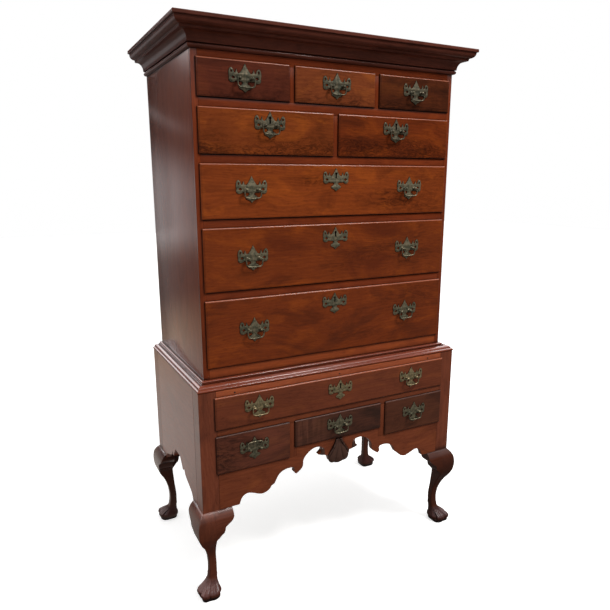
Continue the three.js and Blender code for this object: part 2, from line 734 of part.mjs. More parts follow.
// The leg turned to one of the four corners
function legAt(side, end) {
  const mesh = cornerLeg.getMesh();
  const geometry = new THREE.BufferGeometry();
  const positions = Float32Array.from(mesh.vertProperties);
  geometry.setAttribute('position', new THREE.BufferAttribute(positions, 3));
  geometry.setIndex(new THREE.BufferAttribute(Uint32Array.from(mesh.triVerts), 1));
  geometry.scale(side, end, 1);
  geometry.translate(side * lowerHalf, end > 0 ? upperDepth : lowerFront, 0);
  return solid(geometry);
}

// A drawer, in its own frame: X from its middle, Y from the face of the case, Z from its sill
function drawerBody(width, front, depth) {
  const half = width / 2;
  const boxHalf = half - lip - drawerSideGap;
  const opening = openingOf(front);
  const border = [
    { inset: 0, y: -fit },
    { inset: 0, y: -lipRim },
    ...lipCurveShares.map(([inward, out]) => ({ inset: inward * lipMoulding, y: -out * lipProud })),
    { inset: lipMoulding + fit, y: -lipProud },
  ];
  const rings = border.map(({ inset, y }) => {
    const x = half - inset;
    const low = frontGap + inset;
    const high = frontGap + front - inset;
    return [[-x, low], [x, low], [x, high], [-x, high]].map(([a, b]) => new THREE.Vector3(a, y, b));
  });
  const boxTop = opening - drawerTopGap;
  const insideTop = boxTop - drawerBackDrop;
  return joined([
    solid(skin(rings, (p) => new THREE.Vector2(p.x, p.z))),
    block([-boxHalf, boxHalf], [-fit - overrun / 2, frontThickness], [frontGap, opening - frontGap]),
    ...pairOfBlocks([boxHalf - drawerSideThickness, boxHalf], [frontThickness - overrun, depth],
      [runnerGap, boxTop]),
    block([-boxHalf + overrun, boxHalf - overrun], [depth - drawerSideThickness, depth],
      [drawerBottomRise, insideTop]),
    block([-boxHalf + overrun, boxHalf - overrun], [frontThickness - overrun, depth - overrun],
      [drawerBottomRise, drawerBottomRise + drawerBottomThickness]),
  ]);
}

// Half of the bat-winged plate, from spire to tail, as shares of half its width and of its rise
// over, or drop under, the post axis
const plateRunShares = [
  { steps: 2, places: [[0, 1], [0.13, 0.68], [0.3, 0.38]] },
  { steps: 2, places: [[0.3, 0.38], [0.43, 0.36], [0.53, 0.64]] },
  { steps: 2, places: [[0.53, 0.64], [0.6, 0.38], [0.68, 0.4]] },
  { steps: 4, places: [[0.68, 0.4], [0.79, 0.68], [0.93, 0.62], [1, 0.3], [0.98, -0.08]] },
  { steps: 2, places: [[0.98, -0.08], [0.8, -0.3], [0.58, -0.17]] },
  { steps: 2, places: [[0.58, -0.17], [0.28, -0.2], [0.15, -0.34]] },
  { steps: 1, places: [[0.15, -0.34], [0.37, -0.62]] },
  { steps: 1, places: [[0.37, -0.62], [0.13, -0.83]] },
  { steps: 1, places: [[0.13, -0.83], [0, -1]] },
];

function plateOutline(size) {
  const half = plateRunShares.flatMap(({ steps, places }) => run(places.map(([across, up]) => [
    (across * size * plateWidth) / 2,
    up * size * (up > 0 ? plateRise : plateDrop),
  ]), steps));
  const tail = new THREE.Vector2(0, -size * plateDrop);
  const left = half.slice(1).map((p) => new THREE.Vector2(-p.x, p.y)).reverse();
  return [...half, tail, ...left];
}

// A turned post with its rosette, and the blind socket that holds one end of the bail
function bailPost(side) {
  const sides = 6;
  const ball = postBallShares.map(([radius, height]) => [
    Math.max(radius * postBallRadius, height < 0 ? postNeckRadius : 0),
    postReach + height * postBallRadius,
  ]);
  const profile = [
    [0, 0],
    [rosetteRadius, 0],
    [rosetteRadius, rosetteThickness],
    [postNeckRadius, rosetteThickness],
    ...ball,
  ].map(([radius, height]) => new THREE.Vector2(radius, height));
  const turned = new THREE.LatheGeometry(profile, sides);
  turned.rotateX(Math.PI);
  turned.translate((side * postSpacing) / 2, -plateThickness + fit, 0);
  const socket = new THREE.CylinderGeometry(socketRadius, socketRadius,
    pinDepth + overrun, sides);
  socket.rotateZ(Math.PI / 2);
  const outside = postSpacing / 2 + postBallRadius + overrun;
  socket.translate(side * (outside - (pinDepth + overrun) / 2), -plateThickness - postReach + fit, 0);
  return solid(turned).subtract(solid(socket));
}

// Plate in its own frame: X and Z from the middle of its posts, Y from its back
function bailPlate() {
  const plate = boardXZ(plateOutline(1), [-plateThickness, 0]);
  return joined([plate, bailPost(1), bailPost(-1)]);
}

// A smaller plate with a keyhole, in the frame of its middle
function escutcheon() {
  const plate = boardXZ(plateOutline(escutcheonShare), [-plateThickness, 0]);
  const hole = new THREE.CylinderGeometry(keyholeRadius, keyholeRadius,
    plateThickness + 2 * overrun, 8);
  hole.translate(0, -plateThickness / 2, keyholeRise);
  const slotHalf = keyholeRadius / 2;
  const slot = block([-slotHalf, slotHalf], [-plateThickness - overrun, overrun],
    [keyholeRise - keyholeSlot, keyholeRise]);
  return plate.subtract(solid(hole)).subtract(slot);
}

// A bail in the frame of its hinge axis, hanging down
function bail() {
  const inner = postSpacing / 2 + postBallRadius - pinDepth + fit;
  const shoulder = postSpacing / 2 + postBallRadius + bailShoulder;
  const half = bailWidth / 2 - bailRadius;
  const places = [
    [-inner, 0, pinRadius],
    [-shoulder + bailRadius / 2, 0, pinRadius],
    ...bailRunShares.map(([across, down, thick]) => [
      -across * half, -down * bailDrop, thick * bailRadius,
    ]),
  ];
  const mirrored = places.slice(0, -1).reverse().map(([x, z, radius]) => [-x, z, radius]);
  const all = [...places, ...mirrored];
  const sides = 5;
  const rings = all.map(([x, z, radius], i) => {
    const [x0, z0] = all[Math.max(0, i - 1)];
    const [x1, z1] = all[Math.min(all.length - 1, i + 1)];
    const along = new THREE.Vector2(x1 - x0, z1 - z0).normalize();
    if (i <= 1 || i >= all.length - 2) {
      along.set(-1, 0);
    }
    const ring = [];
    for (let k = 0; k < sides; k += 1) {
      const angle = (2 * Math.PI * k) / sides;
      const across = radius * Math.cos(angle);
      ring.push(new THREE.Vector3(x - along.y * across, radius * Math.sin(angle),
        z + along.x * across));
    }
    return ring;
  });
  return solid(skin(rings, (p) => new THREE.Vector2(p.y, p.z)));
}

const plateSolid = bailPlate();
const escutcheonSolid = escutcheon();
const bailSolid = bail();

// A drawer with its brasses, closed in its opening
function addDrawer(spec) {
  const { name, centre, width, front, sill, face, depth, spread, rise, keyed, raised } = spec;
  const drawer = new THREE.Group();
  drawer.position.set(centre, face, sill);
  addMesh(drawer, `drawer_${name}`, drawerBody(width, front, depth), walnut);
  const middle = frontGap + front / 2;
  const plateFace = -lipProud - fit;
  const handles = spread > 0 ? [['_left', -spread], ['_right', spread]] : [['', 0]];
  for (const [suffix, x] of handles) {
    const plate = addMesh(drawer, `bail_plate_${name}${suffix}`, plateSolid, brass);
    plate.position.set(x, plateFace, middle + rise);
    const swing = addMesh(drawer, `bail_${name}${suffix}`, bailSolid, brass);
    swing.position.set(x, plateFace - plateThickness - postReach + fit, middle + rise);
    if (raised) {
      swing.rotation.x = -THREE.MathUtils.degToRad(raisedBailTurn);
    }
  }
  if (keyed) {
    const plate = addMesh(drawer, `escutcheon_${name}`, escutcheonSolid, brass);
    plate.position.set(0, plateFace, frontGap + front - keyholeDrop);
  }
  highboy.add(drawer);
}

const upperDrawerDepth = backInside - drawerEndGap;
const lowerDrawerDepth = lowerBackInside - drawerEndGap + frontStep;
const longWidth = 2 * (openingHalf + lip);
const halfOpening = openingHalf - dividerThickness / 2;
const secondWidth = halfOpening + 2 * lip;
const secondCentre = dividerThickness / 2 + halfOpening / 2;
const topInner = topDividerCentre - dividerThickness / 2;
const topOuter = topDividerCentre + dividerThickness / 2;
const topSideWidth = openingHalf - topOuter + 2 * lip;
const topSideCentre = (openingHalf + topOuter) / 2;
const lowerInner = lowerDividerCentre - lowerDividerThickness / 2;
const lowerOuter = lowerDividerCentre + lowerDividerThickness / 2;
const lowerSideWidth = lowerOpeningHalf - lowerOuter + 2 * lip;
const lowerSideCentre = (lowerOpeningHalf + lowerOuter) / 2;
const longSpread = longSpreadShare * (longWidth / 2);
const lowerLongWidth = 2 * (lowerOpeningHalf + lip);
const lowerLongSpread = lowerLongSpreadShare * (lowerLongWidth / 2);

const upper = { face: 0, depth: upperDrawerDepth };
const lower = { face: lowerFront, depth: lowerDrawerDepth };
const topRow = {
  ...upper, front: topRowFront, sill: topRowSill, spread: 0, rise: topRowHandleRise,
};
const secondRow = {
  ...upper, front: secondRowFront, sill: secondRowSill, spread: 0, rise: secondRowHandleRise,
};
const longRow = { ...upper, centre: 0, width: longWidth, spread: longSpread, keyed: true };
const lowerRow = {
  ...lower, front: lowerSideFront, sill: lowerSideSill, spread: 0, rise: lowerHandleRise,
};

addDrawer({ ...topRow, name: 'top_left', centre: -topSideCentre, width: topSideWidth });
addDrawer({ ...topRow, name: 'top_centre', centre: 0, width: 2 * (topInner + lip) });
addDrawer({ ...topRow, name: 'top_right', centre: topSideCentre, width: topSideWidth });
addDrawer({ ...secondRow, name: 'second_left', centre: -secondCentre, width: secondWidth });
addDrawer({ ...secondRow, name: 'second_right', centre: secondCentre, width: secondWidth });
addDrawer({ ...longRow, name: 'long_upper', front: longUpperFront, sill: longUpperSill,
  rise: longUpperHandleRise });
addDrawer({ ...longRow, name: 'long_middle', front: longMiddleFront, sill: longMiddleSill,
  rise: longMiddleHandleRise });
addDrawer({ ...longRow, name: 'long_lower', front: longLowerFront, sill: longLowerSill,
  rise: longLowerHandleRise });
addDrawer({ ...lower, name: 'lower_long', centre: 0, width: lowerLongWidth, keyed: true,
  front: lowerLongFront, sill: lowerLongSill, spread: lowerLongSpread, rise: lowerHandleRise });
addDrawer({ ...lowerRow, name: 'lower_left', centre: -lowerSideCentre, width: lowerSideWidth,
  raised: true });
addDrawer({ ...lower, name: 'lower_centre', centre: 0, width: 2 * (lowerInner + lip),
  front: lowerCentreFront, sill: lowerCentreSill, spread: 0, rise: lowerCentreHandleRise });
addDrawer({ ...lowerRow, name: 'lower_right', centre: lowerSideCentre, width: lowerSideWidth });

addMesh(highboy, 'upper_carcase', upperCarcase(), walnutPlain);
addMesh(highboy, 'upper_front_frame', upperFrontFrame(), walnut);
addMesh(highboy, 'cornice', cornice(), walnutDark);
addMesh(highboy, 'waist_moulding', waistMoulding(), walnutDark);
addMesh(highboy, 'lower_front_frame', lowerFrontFrame(), walnut);
addMesh(highboy, 'lower_side_left', lowerSide(-1), walnutPlain);
addMesh(highboy, 'lower_side_right', lowerSide(1), walnutPlain);
addMesh(highboy, 'lower_back', lowerBack(), poplar);
addMesh(highboy, 'leg_front_left', legAt(-1, -1), walnut);
addMesh(highboy, 'leg_front_right', legAt(1, -1), walnut);
addMesh(highboy, 'leg_back_left', legAt(-1, 1), walnut);
addMesh(highboy, 'leg_back_right', legAt(1, 1), walnut);

// The origin is on the floor, under the middle of the whole highboy
highboy.updateMatrixWorld(true);
const extent = new THREE.Box3().setFromObject(highboy, true);
highboy.position.y = -(extent.min.y + extent.max.y) / 2;
highboy.updateMatrixWorld(true);

export default highboy;
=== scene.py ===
import math

import bmesh
import bpy
from mathutils import Matrix, Vector

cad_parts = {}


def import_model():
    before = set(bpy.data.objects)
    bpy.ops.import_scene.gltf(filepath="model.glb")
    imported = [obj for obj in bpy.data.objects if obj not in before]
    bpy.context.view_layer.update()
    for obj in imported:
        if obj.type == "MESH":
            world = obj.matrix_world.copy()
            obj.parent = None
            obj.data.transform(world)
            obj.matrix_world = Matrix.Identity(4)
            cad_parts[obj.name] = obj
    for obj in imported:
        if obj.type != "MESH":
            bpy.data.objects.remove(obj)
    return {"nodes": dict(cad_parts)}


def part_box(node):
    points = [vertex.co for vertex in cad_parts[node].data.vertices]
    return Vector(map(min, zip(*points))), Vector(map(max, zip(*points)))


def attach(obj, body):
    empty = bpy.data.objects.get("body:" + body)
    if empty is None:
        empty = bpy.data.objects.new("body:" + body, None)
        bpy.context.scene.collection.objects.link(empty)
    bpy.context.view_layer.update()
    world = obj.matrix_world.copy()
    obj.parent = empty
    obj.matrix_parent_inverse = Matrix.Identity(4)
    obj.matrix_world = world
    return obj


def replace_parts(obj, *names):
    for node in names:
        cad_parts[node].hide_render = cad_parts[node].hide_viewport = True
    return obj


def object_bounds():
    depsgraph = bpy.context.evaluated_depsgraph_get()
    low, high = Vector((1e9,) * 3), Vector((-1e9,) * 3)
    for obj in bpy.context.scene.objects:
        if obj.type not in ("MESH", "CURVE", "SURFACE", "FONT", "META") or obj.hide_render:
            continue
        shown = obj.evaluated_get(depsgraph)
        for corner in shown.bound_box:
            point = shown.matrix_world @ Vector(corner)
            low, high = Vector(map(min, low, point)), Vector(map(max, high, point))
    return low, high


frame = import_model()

cad_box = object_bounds()

# Sizes, in metres
MM = 0.001
SIDE = 20 * MM          # side boards of the upper case
FACING = 10 * MM        # strips on their front edges
BACK = 15 * MM
BLADE = 31 * MM         # rails between the upper drawers
BLADE_DEPTH = 70 * MM
BLADE_EDGE = 26 * MM    # walnut edge of a blade, in front of its plain wood
RAIL = 22 * MM
DIVIDER = 30 * MM
RUNNER = 16 * MM
RUNNER_WIDTH = 28 * MM
RUNNER_LAP = 4 * MM     # how far a runner reaches under its divider
GUIDE = 20 * MM
POST = 58 * MM
APRON = 20 * MM
LOWER_BLADE = 26.8 * MM
LOWER_DIVIDER = 32.4 * MM
LOWER_SIDE = 20 * MM
LIP = 6 * MM
LIP_RIM = 2.4 * MM
LIP_ROUND = 4.6 * MM
LIP_STEP = 0.5 * MM     # down from the rounded lip to the field of a front
FRONT = 18 * MM
FRONT_CLEAR = 0.5 * MM  # under a drawer front
DRAWER_SIDE = 12 * MM
DRAWER_BOTTOM = 8 * MM
BOTTOM_RISE = 6 * MM
SIDE_GAP = 1.5 * MM
TOP_GAP = 4 * MM
BACK_DROP = 8 * MM
TAIL_REACH = 12 * MM    # of the dovetails into a front
TAIL_PITCH = 38 * MM
TAIL_SLOPE = 2.2 * MM
JOINT = 0.25 * MM       # the dark line between two boards
FIT = 0.3 * MM          # between parts that are set against each other
ROUGH_EDGE = 1.2 * MM   # arris of the back boards
PLATE = 1.6 * MM
PLATE_BEVEL = 0.35 * MM
PLATE_WIDTH = 104 * MM
PLATE_RISE = 42 * MM
PLATE_DROP = 38.6 * MM
POST_SPACING = 40 * MM
POST_REACH = 11 * MM
POST_BALL = 5 * MM
ESCUTCHEON_SHARE = 0.93
RAISED_BAIL, RAISED_TURN = "bail_lower_left", 192
PEG = 3 * MM
PEG_DROP = 13 * MM      # under the top of the lower case
KNEE = 322 * MM
APRON_DROP = 127 * MM
APRON_MIDDLE = 0.48     # height of the apron's edge at its middle, as a share
BRACKET_WIDTH = 43 * MM
BRACKET_DROP = 78 * MM
BRACKET_DEPTH = 34 * MM
BRACKET_SINK = 22 * MM  # how far it runs on behind the face of the knee

# Boxes of the model's nodes
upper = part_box("upper_carcase")
upper_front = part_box("upper_front_frame")
lower_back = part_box("lower_back")
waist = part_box("waist_moulding")
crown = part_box("cornice")
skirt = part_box("lower_side_right")

HALF = upper[1][0]
FRONT_Y = upper_front[0][1]
BACK_Y = upper[1][1]
BOTTOM_Z = upper[0][2]
TOP_Z = upper[1][2]
LOWER_HALF = skirt[1][0]
LOWER_TOP = waist[0][2]
LOWER_Y = skirt[0][1] - POST - FIT
OPEN_HALF = HALF - SIDE
LOWER_OPEN_HALF = LOWER_HALF - POST


# Heights and places that the drawers give
def sill_of(name):
    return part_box("drawer_" + name)[0][2] - FRONT_CLEAR


upper_sills = [sill_of(name)
               for name in ("long_lower", "long_middle", "long_upper", "second_left", "top_left")]
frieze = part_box("drawer_top_left")[1][2] - LIP
top_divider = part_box("drawer_top_centre")[1][0] - LIP + DIVIDER / 2
side_sill = sill_of("lower_left")
centre_sill = sill_of("lower_centre")
long_sill = sill_of("lower_long")
rail_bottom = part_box("drawer_lower_long")[1][2] - LIP
lower_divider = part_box("drawer_lower_centre")[1][0] - LIP + LOWER_DIVIDER / 2

# A piece's body and material slot
CASE_WOOD = ("case", "case_wood")
FRONT_WOOD = ("case", "front_wood")
BACK_WOOD = ("case", "back_wood")
MOULDING_WOOD = ("case", "moulding_wood")

SIDES = ((-1, "left"), (1, "right"))
scene = bpy.context.scene


# Colours and materials

def srgb(*screen):
    """A colour written as it looks on a screen, 0 to 255, as a linear one."""
    shares = [value / 255 for value in screen]
    return tuple(s / 12.92 if s <= 0.04045 else ((s + 0.055) / 1.055) ** 2.4 for s in shares) + (1,)


def tinted(colour, *shares):
    """A colour times one share, or one for each channel, and never past 1."""
    shares = shares if len(shares) == 3 else shares * 3
    return tuple(min(1, c * share) for c, share in zip(colour, shares)) + (1,)


class Nodes:
    """Short names for building the nodes of a material or of the world."""

    def __init__(self, tree):
        self.tree = tree

    def put(self, node, settings):
        """Sets or links sockets, named with _ for a space or by their number, or else options."""
        for key, value in settings.items():
            socket = node.inputs.get(key.replace("_", " ")) if isinstance(key, str) else node.inputs[key]
            if socket is None:
                setattr(node, key, value)
            elif isinstance(value, bpy.types.NodeSocket):
                self.tree.links.new(value, socket)
            else:
                socket.default_value = value
        return node

    def add(self, kind, *values, **settings):
        """A node, from the values of its first sockets and from other settings by name."""
        node = self.put(self.tree.nodes.new("ShaderNode" + kind), settings)
        return self.put(node, dict(enumerate(values)))

    def surface(self, **settings):
        self.put(self.tree.nodes["Principled BSDF"], settings)

    def coords(self, kind="Object"):
        return self.add("TexCoord").outputs[kind]

    def along(self, axis, vector):
        return self.add("SeparateXYZ", vector).outputs[axis]

    def length(self, vector):
        return self.add("VectorMath", vector, operation="LENGTH").outputs["Value"]

    def math(self, operation, *values):
        """One operation on two or more values, from left to right."""
        result = values[0]
        for value in values[1:]:
            result = self.add("Math", result, value, operation=operation).outputs[0]
        return result

    def times(self, *values):
        return self.math("MULTIPLY", *values)

    def plus(self, *values):
        return self.math("ADD", *values)

    def ramp(self, source, low, high, first=0, last=1):
        """The first value below low, the last above high, smooth between."""
        return self.add("MapRange", source, low, high, first, last,
                        interpolation_type="SMOOTHSTEP").outputs["Result"]

    def cover(self, colour, other, *amounts):
        """A colour covered by another one, by the product of the amounts."""
        node = self.add("Mix", self.times(*amounts), data_type="RGBA")
        return self.put(node, {6: colour, 7: other}).outputs[2]

    def scaled(self, vector, along, across):
        return self.add("Mapping", vector, Scale=(along, across, across)).outputs["Vector"]

    def noise(self, vector, scale, detail=3.0, roughness=0.5, distortion=0.0):
        """Noise in one scale, or with one along the grain and one across it."""
        if isinstance(scale, tuple):
            vector, scale = self.scaled(vector, *scale), 1.0
        return self.add("TexNoise", vector, Scale=scale, Detail=detail, Roughness=roughness,
                        Distortion=distortion).outputs["Fac"]

    def spots(self, vector, scale, low, high, *character):
        """Noise drawn apart into spots: 0 where it is below low, 1 where it is above high."""
        return self.ramp(self.noise(vector, scale, *character), low, high)

    def patch(self, across, up, wide, tall, slant):
        """1 in the middle of an oval patch, 0 outside: place, radii (shares of the piece) and slant."""
        moved = self.add("Mapping", self.coords("Generated"), (across, 0.5, up), (0, math.radians(slant), 0),
                         (wide, 100, tall), vector_type="TEXTURE")
        return self.ramp(self.length(moved.outputs["Vector"]), 1.1, 0.1)

    def corners(self, reach, low, high):
        """0 below low and 1 above high of how open a place is, within a reach."""
        return self.ramp(self.add("AmbientOcclusion", samples=8, Distance=reach).outputs["AO"], low, high)

    def bump(self, height, strength, distance):
        return self.add("Bump", Strength=strength, Distance=distance, Height=height).outputs["Normal"]


def new_material(name):
    material = bpy.data.materials.new(name)
    material.use_nodes = True
    return material, Nodes(material.node_tree)


TURN = {"X": (0, 0, 0), "Y": (0, 0, math.radians(-90)), "Z": (0, math.radians(90), 0)}
FOOT_DUST_AND_SHEEN = (75, 55, 60)


def wood(name, grain, body, dark, shift=(0, 0, 0), figure=0.5, rough=0.4, polish=0.9, gloss=0.14, stain=None,
         burl=0.0, stripe=0.0, below=None, glow=0.0, curls=(), dirt=1.0, dust_and_sheen=None, fade=0.42, wave=0.035):
    """Wood with its grain along X, Y or Z under a coat of varnish: rings, clouds of figure, pores, fibres,
    wear, and dirt with painted shade in the corners."""
    material, n = new_material(name)
    body, dark = srgb(*body), srgb(*dark)
    place, share = n.coords(), n.coords("Generated")
    along = n.add("Mapping", place, shift, TURN[grain]).outputs["Vector"]

    # Slow wander of the grain, then growth rings cut at a slant
    wander = n.math("SUBTRACT", n.noise(along, (2.2, 5), 2.0), 0.5)
    push = n.add("CombineXYZ", Y=wander, Z=wander).outputs[0]
    sway = n.add("VectorMath", push, operation="SCALE", Scale=0.11).outputs[0]
    bent = n.add("VectorMath", along, sway, operation="ADD").outputs[0]
    ring = n.add("TexWave", n.scaled(bent, 0.22, 1), wave_type="RINGS", rings_direction="X", Scale=30.0,
                 Distortion=3.4, Detail=3.0, Detail_Scale=1.6)
    colour = n.cover(body, dark, ring.outputs["Fac"], 0.16)

    # Clouds of darker figure, then what only some boards have
    colour = n.cover(colour, dark, n.spots(bent, (5, 11), 0.44, 0.72, 5.0, 0.62, 1.1), figure)
    if glow:
        haze = n.spots(bent, (5, 13), 0.48, 0.74, 4.0, 0.55, 1.4)
        colour = n.cover(colour, tinted(body, 1.5, 1.62, 1.1), haze, glow)
        fleck = n.spots(bent, (16, 85), 0.44, 0.7, 4.0, 0.6, 2.0)
        colour = n.cover(colour, tinted(body, 0.5), fleck, glow * 0.5)
    if curls:
        knot = n.plus(n.times(n.spots(bent, (15, 44), 0.4, 0.66, 6.0, 0.74, 2.2), 0.8), 0.2)
        for *spot, strength in curls:
            colour = n.cover(colour, tinted(dark, 0.45), knot, n.patch(*spot), strength)
    # Painted shade: darker below a height
    if below:
        colour = n.cover(colour, tinted(dark, 0.3), n.ramp(n.along("Z", place), below, below - 0.02), fade)
    coat = polish
    # Dust with a painted sheen on the feet: paler and pinker between two heights, with less varnish there
    if dust_and_sheen:
        height = n.along("Z", place)
        film = n.times(n.ramp(height, dust_and_sheen, dust_and_sheen - 0.012), n.ramp(height, 0.012, 0.03))
        colour = n.cover(colour, srgb(*FOOT_DUST_AND_SHEEN), film, 0.35)
        coat = n.math("SUBTRACT", polish, n.times(film, 0.45))
    if burl:
        near_foot = n.ramp(n.plus(n.along("Z", share), n.times(wander, 1.1)), 0.56, 0.16)
        knots = n.spots(bent, (24, 66), 0.42, 0.6, 7.0, 0.8, 3.2)
        colour = n.cover(colour, tinted(dark, 0.5), knots, near_foot, burl)
        eyes = n.spots(bent, (36, 90), 0.56, 0.7, 5.0, 0.7, 2.2)
        colour = n.cover(colour, tinted(body, 1.9), eyes, near_foot, burl * 0.5)
    if stripe:
        bands = n.spots(bent, (85, 9), 0.44, 0.6, 3.0, 0.5, 0.4)
        colour = n.cover(colour, tinted(body, 2.6), bands, n.ramp(n.along("X", share), 0.42, 0.1), stripe)
    if stain:
        colour = n.cover(colour, srgb(*stain), n.spots(bent, (3.1, 6.5), 0.5, 0.66, 4.0, 0.6, 0.6), 0.75)

    # Fibres and pores, long along the grain, then dirt with painted shade in corners and along joints
    fibre = n.noise(along, (7, 260), 3.0, 0.6)
    pore = n.spots(along, (55, 950), 0.6, 0.72, 2.0, 0.5)
    tone = n.add("HueSaturation", Color=colour, Value=n.plus(n.times(fibre, 0.5), 0.75))
    colour = n.cover(tone.outputs["Color"], tinted(dark, 0.35), pore, 0.5)
    colour = n.cover(colour, tinted(dark, 0.13), n.corners(0.017, 0.95, 0.46), dirt)

    worn = n.noise(along, (9, 16), 4.0, 0.6)
    relief = n.plus(n.times(fibre, 0.35), n.times(pore, -0.8), n.times(n.noise(along, (4, 14), 2.0), 3.0))
    n.surface(Base_Color=colour, Roughness=n.plus(n.times(worn, 0.22), rough - 0.11), IOR=1.48,
              Normal=n.bump(relief, 0.16, 0.0011), Specular_IOR_Level=0.04 if polish else 0.3,
              Coat_Weight=coat, Coat_Roughness=gloss, Coat_IOR=1.45)
    if polish:
        n.surface(Coat_Normal=n.bump(n.noise(along, (3, 9), 2.0), wave, 0.004))
    return material


def woods(name, axes, body, dark, **settings):
    """The same wood with its grain along different axes."""
    return {axis: wood(name + "_" + axis.lower(), axis, body, dark, **settings) for axis in axes}


def old_brass(name, *share):
    """Cast brass: dull metal, green-grey film, bright where fingers rub it."""
    material, n = new_material(name)
    tones = (140, 128, 102), (84, 84, 66), (42, 48, 36)
    bare, filmed, grimy = (tinted(srgb(*tone), *share) for tone in tones)
    place = n.coords()
    film = n.spots(place, 95, 0.36, 0.64, 5.0, 0.65)
    colour = n.cover(n.cover(bare, filmed, film), grimy, n.spots(place, 260, 0.5, 0.7, 4.0, 0.6), 0.7)
    # Dirt and painted shade: darker in corners and where the brass meets other parts
    colour = n.cover(srgb(22, 18, 12), colour, n.corners(0.008, 0.45, 0.97))
    n.surface(Base_Color=colour, Metallic=0.6, Roughness=n.plus(n.times(film, 0.2), 0.42),
              Normal=n.bump(n.noise(place, 420), 0.25, 0.0006))
    return material


def plain(name, screen, rough, shine=0.5):
    """A dull surface with a little variation, for what is seen only inside."""
    material, n = new_material(name)
    colour = srgb(*screen)
    n.surface(Base_Color=n.cover(colour, tinted(colour, 0.5), n.noise(n.coords(), 60, 4.0, 0.6), 0.5),
              Roughness=rough, Specular_IOR_Level=shine)
    return material


case_walnut = {axis: wood("case_walnut_" + axis.lower(), axis, (134, 64, 38), (90, 39, 23), figure=0.35,
                          shift=(0.3, 0.1, 0.2), polish=1.0, gloss=0.16, wave=ripple)
               for axis, ripple in (("Y", 0.012), ("Z", 0.035))}
frame_walnut = woods("frame_walnut", "XZ", (124, 53, 25), (80, 31, 15), shift=(0.7, 0.4, 0.1), glow=0.35)
low_walnut = woods("low_walnut", "XZ", (125, 63, 38), (82, 39, 24), shift=(0.4, 0.7, 0.2), glow=0.3)
rail_walnut = wood("rail_walnut", "X", (146, 69, 34), (96, 41, 20), (0.2, 0.6, 0.4), figure=0.4, glow=0.4)
top_rail_walnut = wood("top_rail_walnut", "X", (164, 84, 52), (108, 52, 30), (0.6, 0.2, 0.4), figure=0.4,
                       glow=0.4)
moulding_walnut = {axis: wood("moulding_walnut_" + axis.lower(), axis, (100, 51, 38), (54, 27, 20),
                              shift=(0.2, 0.9, 0.5), polish=varnish, gloss=0.2, dirt=0.7)
                   for axis, varnish in (("X", 0.55), ("Y", 0.42))}
waist_walnut = woods("waist_walnut", "XY", (126, 57, 33), (80, 34, 20), shift=(0.5, 0.2, 0.5), figure=0.4,
                     polish=1.0, gloss=0.18, dirt=0.5)
# Painted shade: the legs are painted darker below a height, the front left one least and the other three as
# shaded copies: that height, how dark the leg gets, how dark its brackets get, and their varnish
LEG_SHADES = {"light": (0.322, 0.42, 0.42, 1.0), "dark": (0.345, 0.7, 0.72, 0.85)}
leg_walnut, bracket_walnut = {}, {}
for tone, (below, leg_fade, bracket_fade, varnish) in LEG_SHADES.items():
    leg_walnut[tone] = wood("leg_walnut_" + tone, "Z", (124, 63, 41), (72, 36, 25), shift=(0.1, 0.6, 0.3),
                            polish=1.0, gloss=0.26, below=below, dust_and_sheen=0.062, fade=leg_fade)
    bracket_walnut[tone] = woods("bracket_walnut_" + tone, "XY", (124, 63, 41), (72, 36, 25),
                                 shift=(0.4, 0.3, 0.3), polish=varnish, gloss=0.2, below=0.34,
                                 fade=bracket_fade)
# Painted shade for the rims and undersides of the drawer lips
shade_rim_walnut = wood("shade_rim_walnut", "X", (46, 22, 16), (26, 12, 9), rough=0.5, polish=0.3, gloss=0.3)
# Painted shade: the pad under the toes is darker than the leg
shaded_pad_walnut = wood("shaded_pad_walnut", "X", (64, 42, 38), (34, 22, 20), figure=0.6, rough=0.5, polish=0.5, gloss=0.3)
# Painted sheen for the tops of the drawer lips, dimmer on the three small lower drawers
sheen_lip_walnut = wood("sheen_lip_walnut", "X", (160, 84, 50), (112, 54, 30), figure=0.4, polish=1.0, gloss=0.3,
                  dirt=0.3)
dim_sheen_lip = wood("dim_sheen_lip", "X", (92, 56, 44), (60, 36, 28), figure=0.4, rough=0.5, polish=0.5, gloss=0.4)
shell_walnut = wood("shell_walnut", "Z", (82, 56, 46), (46, 30, 24), figure=0.4, polish=1.0, gloss=0.2)
poplar = woods("poplar", "XY", (168, 138, 96), (122, 92, 58), shift=(0.6, 0.8, 0.2), figure=0.4, rough=0.72,
               polish=0.0)
back_pine = wood("back_pine", "X", (128, 98, 66), (84, 60, 40), shift=(0.2, 0.2, 0.9), figure=0.6, rough=0.8,
                 polish=0.0)
brass = old_brass("old_brass", 1)
# The upper rows' brasses are painted darker, as if in shade, and the long lower drawer's are the brightest
dull_brass = old_brass("dull_brass", 0.62, 0.61, 0.6)
bright_brass = old_brass("bright_brass", 1.6, 1.45, 1.25)
iron = plain("dark_iron", (52, 48, 46), 0.6)
dark_wood = plain("dark_wood", (34, 17, 12), 0.7)
# Painted shade seen through the keyholes
keyhole_shade = plain("keyhole_shade", (7, 5, 4), 0.9, 0.05)


# Meshes

def show(name, data):
    ob = bpy.data.objects.new(name, data)
    scene.collection.objects.link(ob)
    return ob


def finish_piece(name, mesh, material, on, sharp=32):
    """A mesh as a piece that rides on a body."""
    work = bmesh.new()
    work.from_mesh(mesh)
    bmesh.ops.remove_doubles(work, verts=work.verts, dist=2e-6)
    bmesh.ops.recalc_face_normals(work, faces=work.faces)
    work.to_mesh(mesh)
    work.free()
    mesh.shade_smooth()
    mesh.set_sharp_from_angle(angle=math.radians(sharp))
    mesh.materials.clear()
    mesh.materials.append(material)
    piece = show(name, mesh)
    body, slot = on
    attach(piece, body)
    return piece


